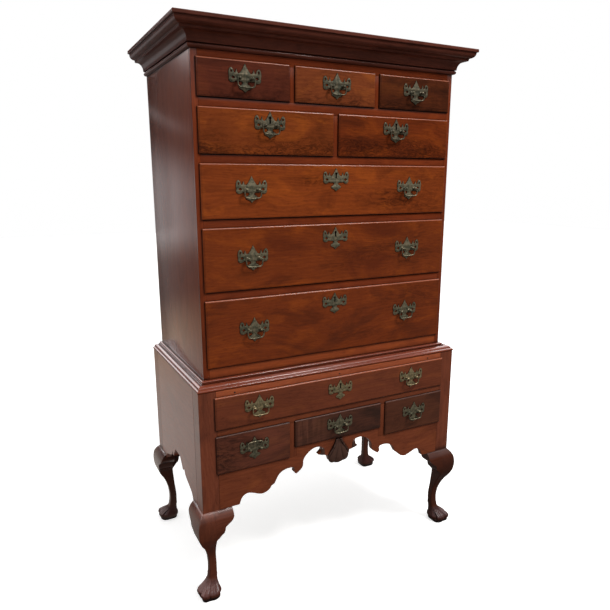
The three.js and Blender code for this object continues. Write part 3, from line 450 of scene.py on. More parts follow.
def bevelled(name, work, edges, edge, material, on):
    """A bmesh with its arrises eased by hand, as a piece."""
    bmesh.ops.bevel(work, geom=edges, offset=edge, segments=2, profile=0.6, affect="EDGES",
                    clamp_overlap=True)
    mesh = bpy.data.meshes.new(name)
    work.to_mesh(mesh)
    work.free()
    return finish_piece(name, mesh, material, on, 18)


def board(name, xs, ys, zs, material, on=CASE_WOOD, edge=0.7 * MM):
    """A planed board between two corners."""
    low = Vector((xs[0], ys[0], zs[0]))
    high = Vector((xs[1], ys[1], zs[1]))
    work = bmesh.new()
    bmesh.ops.create_cube(work, size=1)
    for vertex in work.verts:
        vertex.co = low + (vertex.co + Vector((0.5, 0.5, 0.5))) * (high - low)
    return bevelled(name, work, work.edges[:], edge, material, on)


def faced_rail(name, core_name, xs, front_y, zs, material):
    """A rail with a walnut edge in front of its plain wood."""
    board(name, xs, (front_y, front_y + BLADE_EDGE), zs, material, FRONT_WOOD)
    board(core_name, xs, (front_y + BLADE_EDGE + JOINT, front_y + BLADE_DEPTH), zs, poplar["X"])


def both(name, xs, *rest):
    """The same board on the right, which is the one returned, and on the left."""
    right = board(name + "_right", xs, *rest)
    board(name + "_left", (-xs[1], -xs[0]), *rest)
    return right


def prism(name, outline, place, depth, material, on=CASE_WOOD, edge=0.8 * MM):
    """A board cut to an outline. place turns an outline point and a depth into a point."""
    work = bmesh.new()
    near, far = ([work.verts.new(place(a, b, d)) for a, b in outline] for d in depth)
    faces = [work.faces.new(near), work.faces.new(far[::-1])]
    for i in range(len(outline)):
        j = (i + 1) % len(outline)
        work.faces.new((near[i], far[i], far[j], near[j]))
    bmesh.ops.recalc_face_normals(work, faces=work.faces)
    rims = {e for f in faces for e in f.edges}
    piece = bevelled(name, work, list(rims), edge, material, on)
    for face in piece.data.polygons:     # the two broad faces are planed flat
        face.use_smooth = len(face.vertices) < 5
    return piece


def upright(a, b, d):
    """An outline that faces forward."""
    return Vector((a, d, b))


def sideways(a, b, d):
    """An outline that faces to the side."""
    return Vector((d, a, b))


def skin(rows, count, closed=True):
    """Faces over rows of points, each row a closed ring or an open line."""
    faces = []
    for a in range(0, (rows - 1) * count, count):
        for i in range(count if closed else count - 1):
            j = (i + 1) % count
            faces.append((a + i, a + j, a + count + j, a + count + i))
    return faces


def mesh_of(name, points, faces):
    mesh = bpy.data.meshes.new(name)
    mesh.from_pydata([tuple(p) for p in points], [], faces)
    return mesh


def lofted(name, rings):
    """The mesh of a skin over rings of equal length, with a cap on each end."""
    count, total = len(rings[0]), len(rings) * len(rings[0])
    faces = skin(len(rings), count) + [tuple(range(count)), tuple(range(total - count, total))]
    return mesh_of(name, [p for ring in rings for p in ring], faces)


def loft(name, rings, material, on, sharp=32):
    return finish_piece(name, lofted(name, rings), material, on, sharp)


def ring_of(centre, across, up, sides):
    """Points round a centre, from the two half axes of their ellipse."""
    turns = [math.tau * i / sides for i in range(sides)]
    return [centre + across * math.cos(t) + up * math.sin(t) for t in turns]


def arc(centre, radii, angles, steps):
    """Points on part of an ellipse, between two angles in degrees."""
    turns = [math.radians(angles[0] + (angles[1] - angles[0]) * i / steps) for i in range(steps + 1)]
    return [(centre[0] + radii[0] * math.cos(t), centre[1] + radii[1] * math.sin(t)) for t in turns]


def spline(places, steps):
    """Points on a smooth run through a few places, without its last."""
    points = [Vector(p) for p in places]
    if len(points) == 2:
        return [points[0].lerp(points[1], s / steps) for s in range(steps)]
    result = []
    spans = len(points) - 1
    points = points[:1] + points + points[-1:]
    for s in range(steps):
        i, u = divmod(s * spans / steps, 1)
        p0, p1, p2, p3 = points[int(i):int(i) + 4]
        result.append(0.5 * (2 * p1 + (p2 - p0) * u + (2 * p0 - 5 * p1 + 4 * p2 - p3) * u * u
                             + (3 * p1 - p0 - 3 * p2 + p3) * u ** 3))
    return result


def edge_points(edge):
    """A start, then runs of a number of steps and the places that a run goes through to its end."""
    here, *runs = edge
    points = []
    for steps, *places in runs:
        points += spline([here] + places, steps)
        here = places[-1]
    return points + [Vector(here)]


def flipped(points):
    """The same outline points on the left, in the same order."""
    return [(-x, z) for x, z in points]


def whole(half):
    """The left copy of half an outline, then the half itself backwards from its middle."""
    return flipped(half[:-1]) + half[::-1]


def held(share):
    """A share kept between 0 and 1."""
    return max(0, min(1, share))


def value_at(table, z):
    """A smooth reading of a table of (place, value) at a place, with no swing past its values."""
    rows = sorted(table)
    slopes = [0]
    for (z0, v0), (z1, v1), (z2, v2) in zip(rows, rows[1:], rows[2:]):
        left, right = (v1 - v0) / (z1 - z0), (v2 - v1) / (z2 - z1)
        slopes.append(0 if left * right <= 0 else 2 * left * right / (left + right))
    slopes.append(0)
    z = max(rows[0][0], min(rows[-1][0], z))
    i = next(i for i in range(len(rows) - 1) if z <= rows[i + 1][0])
    (z1, v1), (z2, v2) = rows[i], rows[i + 1]
    u, span = (z - z1) / (z2 - z1), z2 - z1
    return ((2 * u ** 3 - 3 * u ** 2 + 1) * v1 + (u ** 3 - 2 * u ** 2 + u) * slopes[i] * span
            + (3 * u ** 2 - 2 * u ** 3) * v2 + (u ** 3 - u ** 2) * slopes[i + 1] * span)


# Upper case

BACK_BOARDS = 5
RUNNER_YS = (FRONT_Y + BLADE_DEPTH + JOINT, BACK_Y - BACK)


def upper_case():
    inside = (-OPEN_HALF, OPEN_HALF)
    side = both("upper_side", (OPEN_HALF, HALF), (FRONT_Y + FACING + JOINT, BACK_Y), (BOTTOM_Z, TOP_Z),
                case_walnut["Z"])
    for name, low in (("upper_top", TOP_Z - SIDE), ("upper_bottom", BOTTOM_Z)):
        board(name, inside, (FRONT_Y + RAIL + JOINT, BACK_Y - BACK - JOINT), (low, low + SIDE), poplar["X"])
    step = (TOP_Z - BOTTOM_Z) / BACK_BOARDS
    for i in range(BACK_BOARDS):
        zs = (BOTTOM_Z + i * step + JOINT, BOTTOM_Z + (i + 1) * step - JOINT)
        board("upper_back_%d" % i, inside, (BACK_Y - BACK, BACK_Y), zs, back_pine, BACK_WOOD, ROUGH_EDGE)
    for k, sill in enumerate(upper_sills):
        both("upper_runner_%d" % k, (OPEN_HALF - RUNNER_WIDTH, OPEN_HALF), RUNNER_YS, (sill - RUNNER, sill),
             poplar["Y"])
    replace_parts(side, "upper_carcase")


def upper_frame():
    inside = (JOINT - OPEN_HALF, OPEN_HALF - JOINT)
    rail_ys = (FRONT_Y, FRONT_Y + RAIL)
    wood_x, wood_z = frame_walnut["X"], frame_walnut["Z"]
    facing = both("facing", (OPEN_HALF, HALF), (FRONT_Y, FRONT_Y + FACING), (BOTTOM_Z, TOP_Z), wood_z,
                  FRONT_WOOD)
    board("frieze_rail", inside, rail_ys, (frieze, TOP_Z), wood_x, FRONT_WOOD)
    board("base_rail", inside, rail_ys, (BOTTOM_Z, upper_sills[0]), rail_walnut, FRONT_WOOD)
    for k, sill in enumerate(upper_sills[1:]):
        faced_rail("blade_%d" % k, "blade_core_%d" % k, inside, FRONT_Y, (sill - BLADE, sill), wood_x)
    uprights = [(0, upper_sills[3], upper_sills[4] - BLADE)]
    uprights += [(side * top_divider, upper_sills[4], frieze) for side, _ in SIDES]
    for k, (x, low, high) in enumerate(uprights):
        left, right = x - DIVIDER / 2, x + DIVIDER / 2
        board("divider_%d" % k, (left, right), rail_ys, (low + JOINT, high - JOINT), wood_z, FRONT_WOOD)
        board("centre_runner_%d" % k, (left - RUNNER_WIDTH, right + RUNNER_WIDTH), RUNNER_YS,
              (low - RUNNER, low), poplar["Y"])
        board("centre_guide_%d" % k, (left + SIDE_GAP, right - SIDE_GAP), RUNNER_YS, (low, low + GUIDE),
              poplar["Y"])
    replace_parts(facing, "upper_front_frame")


# Mouldings, as shares of their reach and of their height

CORNICE_SHARES = (
    arc((0.03, 0.085), (0.13, 0.085), (-80, 75), 8) + [(0.15, 0.178)]
    + arc((0.5, 0.18), (-0.33, 0.345), (0, 88), 12)
    + [(0.6, 0.53), (0.62, 0.545), (0.635, 0.615), (0.655, 0.625)]
    + arc((0.64, 0.83), (0.27, 0.2), (-82, 0), 10)
    + [(0.915, 0.862), (0.985, 0.868), (1, 0.885), (1, 0.98), (0.985, 1)]
)
WAIST_SHARES = (
    [(0.86, 0)] + arc((0.9, 0.17), (0.1, 0.16), (-80, 85), 8) + [(0.86, 0.36), (0.83, 0.4)]
    + arc((0.5, 0.4), (0.33, 0.3), (4, 84), 8) + [(0.46, 0.64), (0.4, 0.63)]
    + arc((0.4, 0.72), (-0.1, 0.09), (20, 90), 4) + [(0.28, 0.76)]
    + arc((0.14, 0.87), (0.13, 0.13), (-40, 90), 8)
)


def moulding(name, box, shares, front_reach, material):
    """Three mitred lengths round the upper case. Returns the front one."""
    low, high = box[0][2], box[1][2]
    reach = box[1][0] - HALF
    profile = [(out * reach, low + up * (high - low)) for out, up in shares]
    profile = [(FIT, low)] + profile + [(FIT, high)]

    def corners(hand, gap=0):
        return [Vector((hand * (HALF + out), FRONT_Y - out * front_reach / reach + gap, z))
                for out, z in profile]
    front = loft(name + "_front", [corners(-1), corners(1)], material["X"], MOULDING_WOOD, 24)
    for side, word in SIDES:
        near = corners(side, JOINT * 0.6)
        far = [Vector((p.x, BACK_Y, p.z)) for p in near]
        loft(name + "_" + word, [near, far], material["Y"], MOULDING_WOOD, 24)
    return front


def mouldings():
    front = moulding("cornice", crown, CORNICE_SHARES, crown[1][0] - HALF, moulding_walnut)
    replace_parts(front, "cornice")
    moulding("waist", waist, WAIST_SHARES, FRONT_Y - waist[0][1], waist_walnut)
    deck = board("waist_board", (JOINT - HALF, HALF - JOINT), (FRONT_Y + JOINT, BACK_Y),
                 (LOWER_TOP, BOTTOM_Z - JOINT), poplar["X"])
    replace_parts(deck, "waist_moulding")


# Lower case. An edge is its start, then runs of (steps, places), all as shares.

APRON_EDGE = (
    (1, 0), (1, (0.9, 0)), (1, (0.847, 0)),
    (18, (0.825, 0.189), (0.783, 0.268), (0.737, 0.228), (0.689, 0.157), (0.652, 0.142), (0.61, 0.2),
     (0.586, 0.307)),
    (1, (0.562, 0.346)),
    (14, (0.533, 0.535), (0.509, 0.622), (0.474, 0.677), (0.435, 0.693), (0.399, 0.677)),
    (6, (0.391, 0.606), (0.397, 0.535), (0.378, 0.465)),
    (20, (0.334, 0.575), (0.318, 0.677), (0.316, 0.803), (0.301, 0.913), (0.263, 1.039), (0.219, 1.11),
     (0.182, 1.11), (0.156, 1.094)),
    (6, (0.152, 0.976), (0.182, 0.874)),
    (5, (0.123, 0.811), (0.103, 0.803)),
    (5, (0.094, 0.724), (0.083, 0.598)),
    (3, (0.061, 0.598)),
    (3, (0.033, 0.52)),
    (2, (0, APRON_MIDDLE)),
)
SKIRT_EDGE = (
    (0, 0), (1, (0.1, 0)), (1, (0.109, -0.055)),
    (10, (0.14, 0.11), (0.183, 0.189), (0.251, 0.268)),
    (6, (0.3, 0.36), (0.33, 0.496)),
    (5, (0.356, 0.43), (0.376, 0.433)),
    (8, (0.386, 0.52), (0.437, 0.732)),
)
# Half of the shell's edge, from its hinge down to its foot
SHELL_EDGE = ((0.3, 0), (42, (0.4, 0.16), (0.62, 0.36), (0.9, 0.52), (1, 0.66), (0.94, 0.82), (0.7, 0.94),
                         (0.36, 0.99), (0, 1)))
SHELL_LOBES, SHELL_ROWS = 7, 26
SHELL_RELIEF = 7.8 * MM
SHELL_WIDE = 0.098      # half of it, of half the opening
SHELL_TOP, SHELL_FOOT_GAP = 3 * MM, 0.5 * MM
# The curled leaf beside the shell: its outline, and its steps as (size, rise in mm)
EAR = ((0.128, 0.83), (0.15, 0.835), (0.172, 0.875), (0.158, 0.93), (0.155, 1.03), (0.14, 1.06),
       (0.128, 0.98))
EAR_STEPS = ((0.88, 2.4), (0.6, 3.8), (0.3, 3.2))
# A peg's rings as (share of its radius, rise in mm)
PEG_STEPS = ((1, -1.5), (1, 0.15), (0.8, 0.45), (0.35, 0.6))


def apron():
    inner = LOWER_OPEN_HALF - FIT
    step = lower_divider - LOWER_DIVIDER / 2 - JOINT
    half = [(p.x * inner, KNEE + p.y * APRON_DROP) for p in edge_points(APRON_EDGE)]
    top = [(inner, side_sill), (step, side_sill), (step, centre_sill)]
    return prism("apron", whole(half) + top + flipped(top[::-1]), upright,
                 (LOWER_Y, LOWER_Y + APRON), low_walnut["X"], FRONT_WOOD)


def shell():
    """A scallop carved out of the thickness of the apron: a hanging fan of broad soft lobes."""
    origin = centre_sill - SHELL_TOP
    drop = origin - KNEE - APRON_MIDDLE * APRON_DROP - SHELL_FOOT_GAP
    rim = whole([(p.x * SHELL_WIDE * LOWER_OPEN_HALF, p.y * drop) for p in edge_points(SHELL_EDGE)])
    points = []
    for i, (x, down) in enumerate(rim):
        rib = abs(math.sin(math.pi * SHELL_LOBES * i / (len(rim) - 1))) ** 0.6
        length = 1 - 0.035 * (1 - rib)
        for j in range(SHELL_ROWS + 1):
            share = 0.04 + 0.96 * j / SHELL_ROWS
            swell = math.sin(math.pi * min(share, 0.985) ** 1.9) ** 0.5
            depth = SHELL_RELIEF * swell * (1 + 0.5 * (rib - 1) * share ** 0.6)
            if j == SHELL_ROWS:
                depth = -1.5 * MM
            points.append(Vector((x * length * share, LOWER_Y - depth, origin - down * length * share)))
    mesh = mesh_of("shell", points, skin(len(rim), SHELL_ROWS + 1, closed=False))
    piece = finish_piece("shell", mesh, shell_walnut, FRONT_WOOD, 60)
    body = piece.modifiers.new("body", "SOLIDIFY")
    body.thickness = 3 * MM
    body.offset = -1


def scroll_ear(side, word):
    points = [Vector((side * p.x * LOWER_OPEN_HALF, LOWER_Y + 0.5 * MM, KNEE + p.y * APRON_DROP))
              for p in spline(EAR + EAR[:1], 28)]
    middle = sum(points, Vector()) / len(points)
    rings = [points] + [[middle + (p - middle) * share - Vector((0, rise * MM, 0)) for p in points]
                        for share, rise in EAR_STEPS]
    loft("scroll_ear_" + word, rings, shell_walnut, FRONT_WOOD, 50)


def peg(name, centre):
    """The end of a wooden peg, a little proud and darker than its rail."""
    rings = [ring_of(centre - Vector((0, rise * MM, 0)), Vector((PEG * share, 0, 0)),
                     Vector((0, 0, PEG * share * 0.92)), 10) for share, rise in PEG_STEPS]
    loft(name, rings, dark_wood, FRONT_WOOD, 50)


def lower_frame():
    inside = (JOINT - LOWER_OPEN_HALF, LOWER_OPEN_HALF - JOINT)
    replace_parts(apron(), "lower_front_frame")
    shell()
    for side, word in SIDES:
        scroll_ear(side, word)
    blade_bottom = long_sill - LOWER_BLADE
    faced_rail("top_rail", "top_rail_core", inside, LOWER_Y, (rail_bottom, LOWER_TOP), top_rail_walnut)
    faced_rail("lower_blade", "lower_blade_core", inside, LOWER_Y, (blade_bottom, long_sill), low_walnut["X"])
    near, far = lower_divider - LOWER_DIVIDER / 2, lower_divider + LOWER_DIVIDER / 2
    both("lower_divider", (near, far), (LOWER_Y, LOWER_Y + RAIL), (side_sill + JOINT, blade_bottom - JOINT),
         low_walnut["Z"], FRONT_WOOD)
    front_back = (LOWER_Y + APRON, BACK_Y - LOWER_SIDE)
    post_post = (LOWER_Y + POST + FIT, BACK_Y - POST - FIT)
    lining = LOWER_HALF - LOWER_SIDE - FIT
    both("lower_guide", (near + SIDE_GAP, far - SIDE_GAP), front_back,
         (side_sill - RUNNER, centre_sill + GUIDE), poplar["Y"])
    for name, xs, sill in (("outer", (far - RUNNER_LAP, far + RUNNER_WIDTH), side_sill),
                           ("inner", (near - RUNNER_WIDTH, near + RUNNER_LAP), centre_sill)):
        both(name + "_runner", xs, front_back, (sill - RUNNER, sill), poplar["Y"])
    for name, sill in (("long", long_sill), ("side", side_sill)):
        both(name + "_runner", (LOWER_OPEN_HALF - RUNNER_WIDTH, lining), post_post, (sill - RUNNER, sill),
             poplar["Y"])
        both(name + "_side_guide", (LOWER_OPEN_HALF, lining), post_post, (sill, sill + GUIDE), poplar["Y"])
    for k in range(3):
        peg("rail_peg_%d" % k, Vector(((k - 1) * 0.86 * LOWER_OPEN_HALF, LOWER_Y, LOWER_TOP - PEG_DROP)))


def lower_sides():
    front, back = skirt[0][1], skirt[1][1]
    half = [((back - front) * p.x, KNEE + p.y * APRON_DROP) for p in edge_points(SKIRT_EDGE)]
    outline = [(front + y, z) for y, z in half] + [(back - y, z) for y, z in half[::-1]]
    outline += [(back, LOWER_TOP), (front, LOWER_TOP)]
    for side, word in SIDES:
        depth = (side * (LOWER_HALF - LOWER_SIDE), side * LOWER_HALF)
        piece = prism("side_board_" + word, outline, sideways, depth, case_walnut["Y"])
        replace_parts(piece, "lower_side_" + word)
    back_piece = board("lower_back_board", *zip(*lower_back), back_pine, BACK_WOOD, ROUGH_EDGE)
    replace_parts(back_piece, "lower_back")


# Legs: how far the outer edge stands out from the post, and the inner faces in from it,
# against height, in millimetres
OUTER = ((323, 0), (318, 5), (306, 14.6), (288, 21.9), (265, 24), (240, 21.9), (212.5, 12.5), (187.5, -2),
         (160, -13), (133.5, -19.3), (105.6, -21.4), (80.5, -19.8), (72, -18))
INNER = ((323, 58), (317, 54), (306, 49), (288, 45), (265, 41), (240, 39.5), (215, 39.5), (187.5, 41),
         (160, 43), (133.5, 45.5), (105.6, 47.4), (80.5, 47.5), (72, 48))
FOOT_CENTRE = ((72, -33), (60, -31), (48, -27), (36, -20.5), (26, -16.5), (20, -16), (0, -16))
FOOT_RADIUS = ((72, 15.5), (64, 16), (54, 18.4), (46, 22.5), (38, 28.5), (30, 35), (24, 38.5), (19, 38.5),
               (14, 36.5), (11, 33.5), (10, 31))
PAD_HALF = ((20, 28), (14, 32.5), (8, 33.5), (3, 33), (1, 32), (0, 31))
ANKLE_HALF = 14.9
TOE_DEPTH, RIB_DEPTH, PAD_TOE = 8, 3.4, 1.3
TOES = (-58, 0, 58)     # degrees from the corner of the case
LEG_SIDES, PAD_SIDES = 144, 72
# Heights of the rings, closer together where the form turns quickly
LEG_HEIGHTS = [736, 323.3, 322.6] + [322 - 1.5 * i for i in range(12)] + [302 - 6 * i for i in range(39)]
FOOT_HEIGHTS = [72 - 3 * i for i in range(12)] + [36 - 1.5 * i for i in range(16)] + [12, 11, 10]


def squared(angle, power):
    """The edge of a square with rounded corners, from its middle: the higher the power, the sharper."""
    return (abs(math.cos(angle)) ** power + abs(math.sin(angle)) ** power) ** (-1 / power)


def from_corner(angle):
    """How far a direction is from the corner of the case, in degrees."""
    return abs((math.degrees(angle) - 45 + 180) % 360 - 180)


def round_leg(centre, z, sides, reach, start=0.0):
    """A ring of one leg at a height. reach gives the distance from its centre at an angle."""
    ring = []
    for i in range(sides):
        angle = math.tau * i / sides + start
        length = reach(angle)
        ring.append(Vector((centre + length * math.cos(angle), centre + length * math.sin(angle), z)) * MM)
    return ring


def leg_ring(z):
    if z > 322.5:
        centre, half, power = -29, 29, 60
    else:
        outer, inner = value_at(OUTER, z), value_at(INNER, z)
        centre, half = (outer - inner) / 2, (outer + inner) / 2
        power = 9 + 40 * held((z - 150) / 110) - 4.2 * held((130 - z) / 50)
    return round_leg(centre, z, LEG_SIDES, lambda angle: half * squared(angle, power), math.pi / 4)


def foot_ring(z):
    radius = value_at(FOOT_RADIUS, z)
    square = held((z - 58) / 14)
    toe_out = TOE_DEPTH * held((54 - z) / 24)
    rib_out = RIB_DEPTH * max(0, 1 - abs(z - 38) / 22) ** 0.5

    def reach(angle):
        away = from_corner(angle)
        toe = max(0, 1 - (min(abs(away - toe) for toe in TOES) / 29) ** 2) ** 0.5
        rib = abs(math.cos(math.radians(away * 11)))
        length = 0.97 * radius * squared(angle, 3.2)
        length += held((112 - away) / 16) * (toe_out * (toe - 0.6) + rib_out * (rib - 0.6))
        return length * (1 - square) + ANKLE_HALF * squared(angle, 5) * square
    return round_leg(value_at(FOOT_CENTRE, z), z, LEG_SIDES, reach, math.pi / 4)


def pad_ring(z):
    """The pad under the toes: a square with well rounded corners."""
    half = value_at(PAD_HALF, z)

    def reach(angle):
        away = from_corner(angle)
        toe = math.cos(math.radians(away * 360 / TOES[2])) if away < TOES[2] * 1.5 else -1
        return (half + PAD_TOE * toe) * squared(angle, 4)
    return round_leg(value_at(FOOT_CENTRE, z), z, PAD_SIDES, reach)


BRACKET_TIP = 0.02
BRACKET_EDGE = (
    (0, 1), (5, (0.1, 0.97), (0.2, 0.85)),
    (0, (0.2, 0.87)), (1, (0.24, 0.69)),
    (4, (0.4, 0.63), (0.55, 0.57)),
    (12, (0.8, 0.47), (1, 0.3), (1, BRACKET_TIP)),
)
BRACKET_ROWS, BRACKET_COLUMNS, BRACKET_HIDDEN = 24, 18, 2


def bracket_rings():
    """Knee bracket: along X beyond the post, its face carrying on the swell of the knee."""
    edge = edge_points(BRACKET_EDGE)
    rings = []
    for i in range(BRACKET_COLUMNS + 1):
        sunk = max(0, BRACKET_HIDDEN - i) / BRACKET_HIDDEN
        share = max(0, (i - BRACKET_HIDDEN) / (BRACKET_COLUMNS - BRACKET_HIDDEN))
        low = max([BRACKET_TIP] + [p.y + (q.y - p.y) * (share - p.x) / (q.x - p.x)
                                   for p, q in zip(edge, edge[1:]) if p.x <= share <= q.x and q.x > p.x])
        if sunk:
            low = 1 + 0.34 * sunk
        x = -POST - share * BRACKET_WIDTH + sunk * BRACKET_SINK
        zs = [KNEE - FIT - (low * BRACKET_DROP - FIT) * j / BRACKET_ROWS for j in range(BRACKET_ROWS + 1)]
        rings.append([Vector((x, value_at(OUTER, z / MM) * MM, z)) for z in zs]
                     + [Vector((x, -BRACKET_DEPTH, z)) for z in zs[::-1]])
    return rings


def legs():
    leg = [leg_ring(z) for z in LEG_HEIGHTS] + [foot_ring(z) for z in FOOT_HEIGHTS]
    pad = [pad_ring(z) for z in (20, 17, 14, 11, 8, 5, 3, 1, 0)]
    bracket_x = bracket_rings()
    bracket_y = [[p.yxz for p in ring] for ring in bracket_x]
    for side, side_word in SIDES:
        for end, end_word in ((-1, "front"), (1, "back")):
            name = "leg_%s_%s" % (end_word, side_word)
            corner = Vector((side * LOWER_HALF, LOWER_Y if end < 0 else BACK_Y, 0))
            # The front left leg is the lit copy, the other three the shaded ones
            tone = "light" if side < 0 and end < 0 else "dark"

            def part(word, rings, material, sharp=32):
                """Rings made for one corner, in the corner of this leg."""
                turned = [[corner + Vector((side * p.x, end * p.y, p.z)) for p in ring] for ring in rings]
                return loft(name + word, turned, material, FRONT_WOOD, sharp)
            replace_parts(part("_turned", leg, leg_walnut[tone], 38), name)
            part("_pad", pad, shaded_pad_walnut)
            part("_bracket_x", bracket_x, bracket_walnut[tone]["X"], 40)
            part("_bracket_y", bracket_y, bracket_walnut[tone]["Y"], 40)


# Drawers

SMALL_LOWER = ("drawer_lower_left", "drawer_lower_centre", "drawer_lower_right")


def drawer_front(name, low, high, face, material):
    """A front with its thumb-moulded lip, a small step inside it, and a flat field."""
    field = low[1] - face
    rise = -field - LIP_RIM - LIP_STEP
    profile = [(0, -0.2 * MM), (0, FIT - LIP_RIM), (JOINT, -LIP_RIM)]
    profile += arc((LIP_ROUND, -LIP_RIM), (-LIP_ROUND, -rise), (11.25, 90), 7)
    profile += [(LIP_ROUND + JOINT, -LIP_RIM - rise), (LIP_ROUND + FIT, field), (LIP_ROUND + 1.2 * MM, field)]
    rings = []
    for inset, y in profile:
        x0, x1, z0, z1 = low[0] + inset, high[0] - inset, low[2] + FRONT_CLEAR + inset, high[2] - inset
        rings.append([Vector((x, face + y, z)) for x, z in ((x0, z0), (x1, z0), (x1, z1), (x0, z1))])
    piece = loft(name + "_front", rings, material, (name, "drawer_wood"), 25)
    piece.data.materials.append(shade_rim_walnut)
    piece.data.materials.append(dim_sheen_lip if name in SMALL_LOWER else sheen_lip_walnut)
    # Painted shade on faces that look down and on the rim's sides and foot
    for polygon in piece.data.polygons:
        rim = abs(polygon.normal.y) < 0.2 and polygon.center.y > face - LIP_RIM - 0.6 * MM
        if polygon.normal.z < -0.5 or rim and polygon.normal.z < 0.5:
            polygon.material_index = 1
        # Painted sheen on faces that look up
        elif polygon.normal.z > 0.2:
            polygon.material_index = 2
    return piece


def face_of(drawer_name):
    return LOWER_Y if drawer_name.startswith("drawer_lower") else FRONT_Y


def drawer(name, front_wood):
    low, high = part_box(name)
    on = (name, "drawer_wood")
    face = face_of(name)
    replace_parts(drawer_front(name, low, high, face, front_wood), name)
    left, right = low[0] + LIP + SIDE_GAP, high[0] - LIP - SIDE_GAP
    bottom, sill = low[2], low[2] - FRONT_CLEAR
    opening_top = high[2] - LIP
    top = opening_top - TOP_GAP
    back, inside_y, core_y = high[1], face + FRONT, face + 5 * MM
    board(name + "_backing", (left, right), (face - 0.2 * MM, core_y), (sill + MM, opening_top - MM),
          front_wood, on)
    board(name + "_front_core", (left + 0.1 * MM, right - 0.1 * MM), (core_y, inside_y), (sill + MM, top),
          front_wood, on)
    outline = [(back, bottom), (back, top), (inside_y, top)]
    count = max(2, round((top - bottom) / TAIL_PITCH))
    pitch = (top - bottom) / count
    pin = 0.28 * pitch
    for k in range(count)[::-1]:
        tail_low, tail_high = bottom + k * pitch + pin / 2, bottom + (k + 1) * pitch - pin / 2
        outline += [(inside_y, tail_high - TAIL_SLOPE), (inside_y - TAIL_REACH, tail_high),
                    (inside_y - TAIL_REACH, tail_low), (inside_y, tail_low + TAIL_SLOPE)]
    outline += [(inside_y, bottom)]
    for (side, word), x in zip(SIDES, (left, right)):
        prism("%s_side_%s" % (name, word), outline, sideways,
              (x - side * DRAWER_SIDE, x + side * 0.05 * MM), poplar["Y"], on, 0.25 * MM)
    inner = (left + DRAWER_SIDE, right - DRAWER_SIDE)
    board(name + "_back", inner, (back - DRAWER_SIDE, back), (bottom + BOTTOM_RISE, top - BACK_DROP),
          poplar["X"], on)
    board(name + "_bottom", inner, (inside_y, back - 2 * MM),
          (sill + BOTTOM_RISE, sill + BOTTOM_RISE + DRAWER_BOTTOM), poplar["X"], on)


# Brasses

PLATE_EDGE = (
    (0, 1), (8, (0.08, 0.8), (0.17, 0.6), (0.3, 0.38)),
    (8, (0.4, 0.33), (0.47, 0.42), (0.53, 0.64)),
    (6, (0.57, 0.46), (0.62, 0.36), (0.68, 0.4)),
    (14, (0.74, 0.6), (0.85, 0.7), (0.96, 0.58), (1, 0.3), (0.97, 0.08), (0.99, -0.08)),
    (8, (0.93, -0.24), (0.8, -0.3), (0.66, -0.26), (0.58, -0.16)),
    (8, (0.42, -0.2), (0.26, -0.19), (0.16, -0.26), (0.15, -0.36)),
    (8, (0.23, -0.46), (0.36, -0.56), (0.37, -0.68)),
    (5, (0.26, -0.76), (0.13, -0.83)),
    (3, (0, -1)),
)
# Small openings cut through each wing: place across and up, then radius across and up
PIERCINGS = ((0.84, 0.46, 0.055, 0.1), (0.73, 0.05, 0.1, 0.1))
KEYHOLE_RISE, KEYHOLE_RADIUS = 23 * MM, 3.9 * MM
KEYHOLE_SLOT, KEYHOLE_SLOT_HALF = 17 * MM, 2.8 * MM
# Sections of the turned pieces as (radius, height) in mm
POST_STEPS = ((6.6, 0), (6.6, 0.7), (6.1, 1.2), (5.0, 1.4), (4.6, 2.0), (3.4, 2.3), (2.7, 3.2), (2.5, 5.2))
NUT_STEPS = ((4.2, 0), (4.2, 2.4), (3.6, 2.8), (1.6, 2.9), (1.6, 4.5))
# Half of a bail's run as (across, up, radius) in mm, and along its grip as shares of its size
BAIL_HALF, BAIL_DROP, BAIL_STEPS = 27.4, 26, 70
BAIL_ENDS = ((-17.9, 0, 1.6), (-23.2, 0, 1.6), (-26.6, -1.2, 1.75), (-27.5, -0.18 * BAIL_DROP, 1.9))
BAIL_GRIP_SHARES = ((-1, -0.47, 2.1), (-0.96, -0.74, 2.25), (-0.82, -0.9, 2.3), (-0.56, -0.965, 2.25),
                    (-0.24, -0.985, 2.0), (-0.12, -0.99, 2.45), (0, -1, 2.6))


def keyhole_points(size, grow=0.0):
    """A round hole over a slot, from the post axis."""
    rise, radius = size * KEYHOLE_RISE, size * KEYHOLE_RADIUS + grow
    half, foot = size * KEYHOLE_SLOT_HALF + grow, size * (KEYHOLE_RISE - KEYHOLE_SLOT) - grow
    return [(half, foot)] + arc((0, rise), (radius, radius), (-50, 230), 14) + [(-half, foot)]


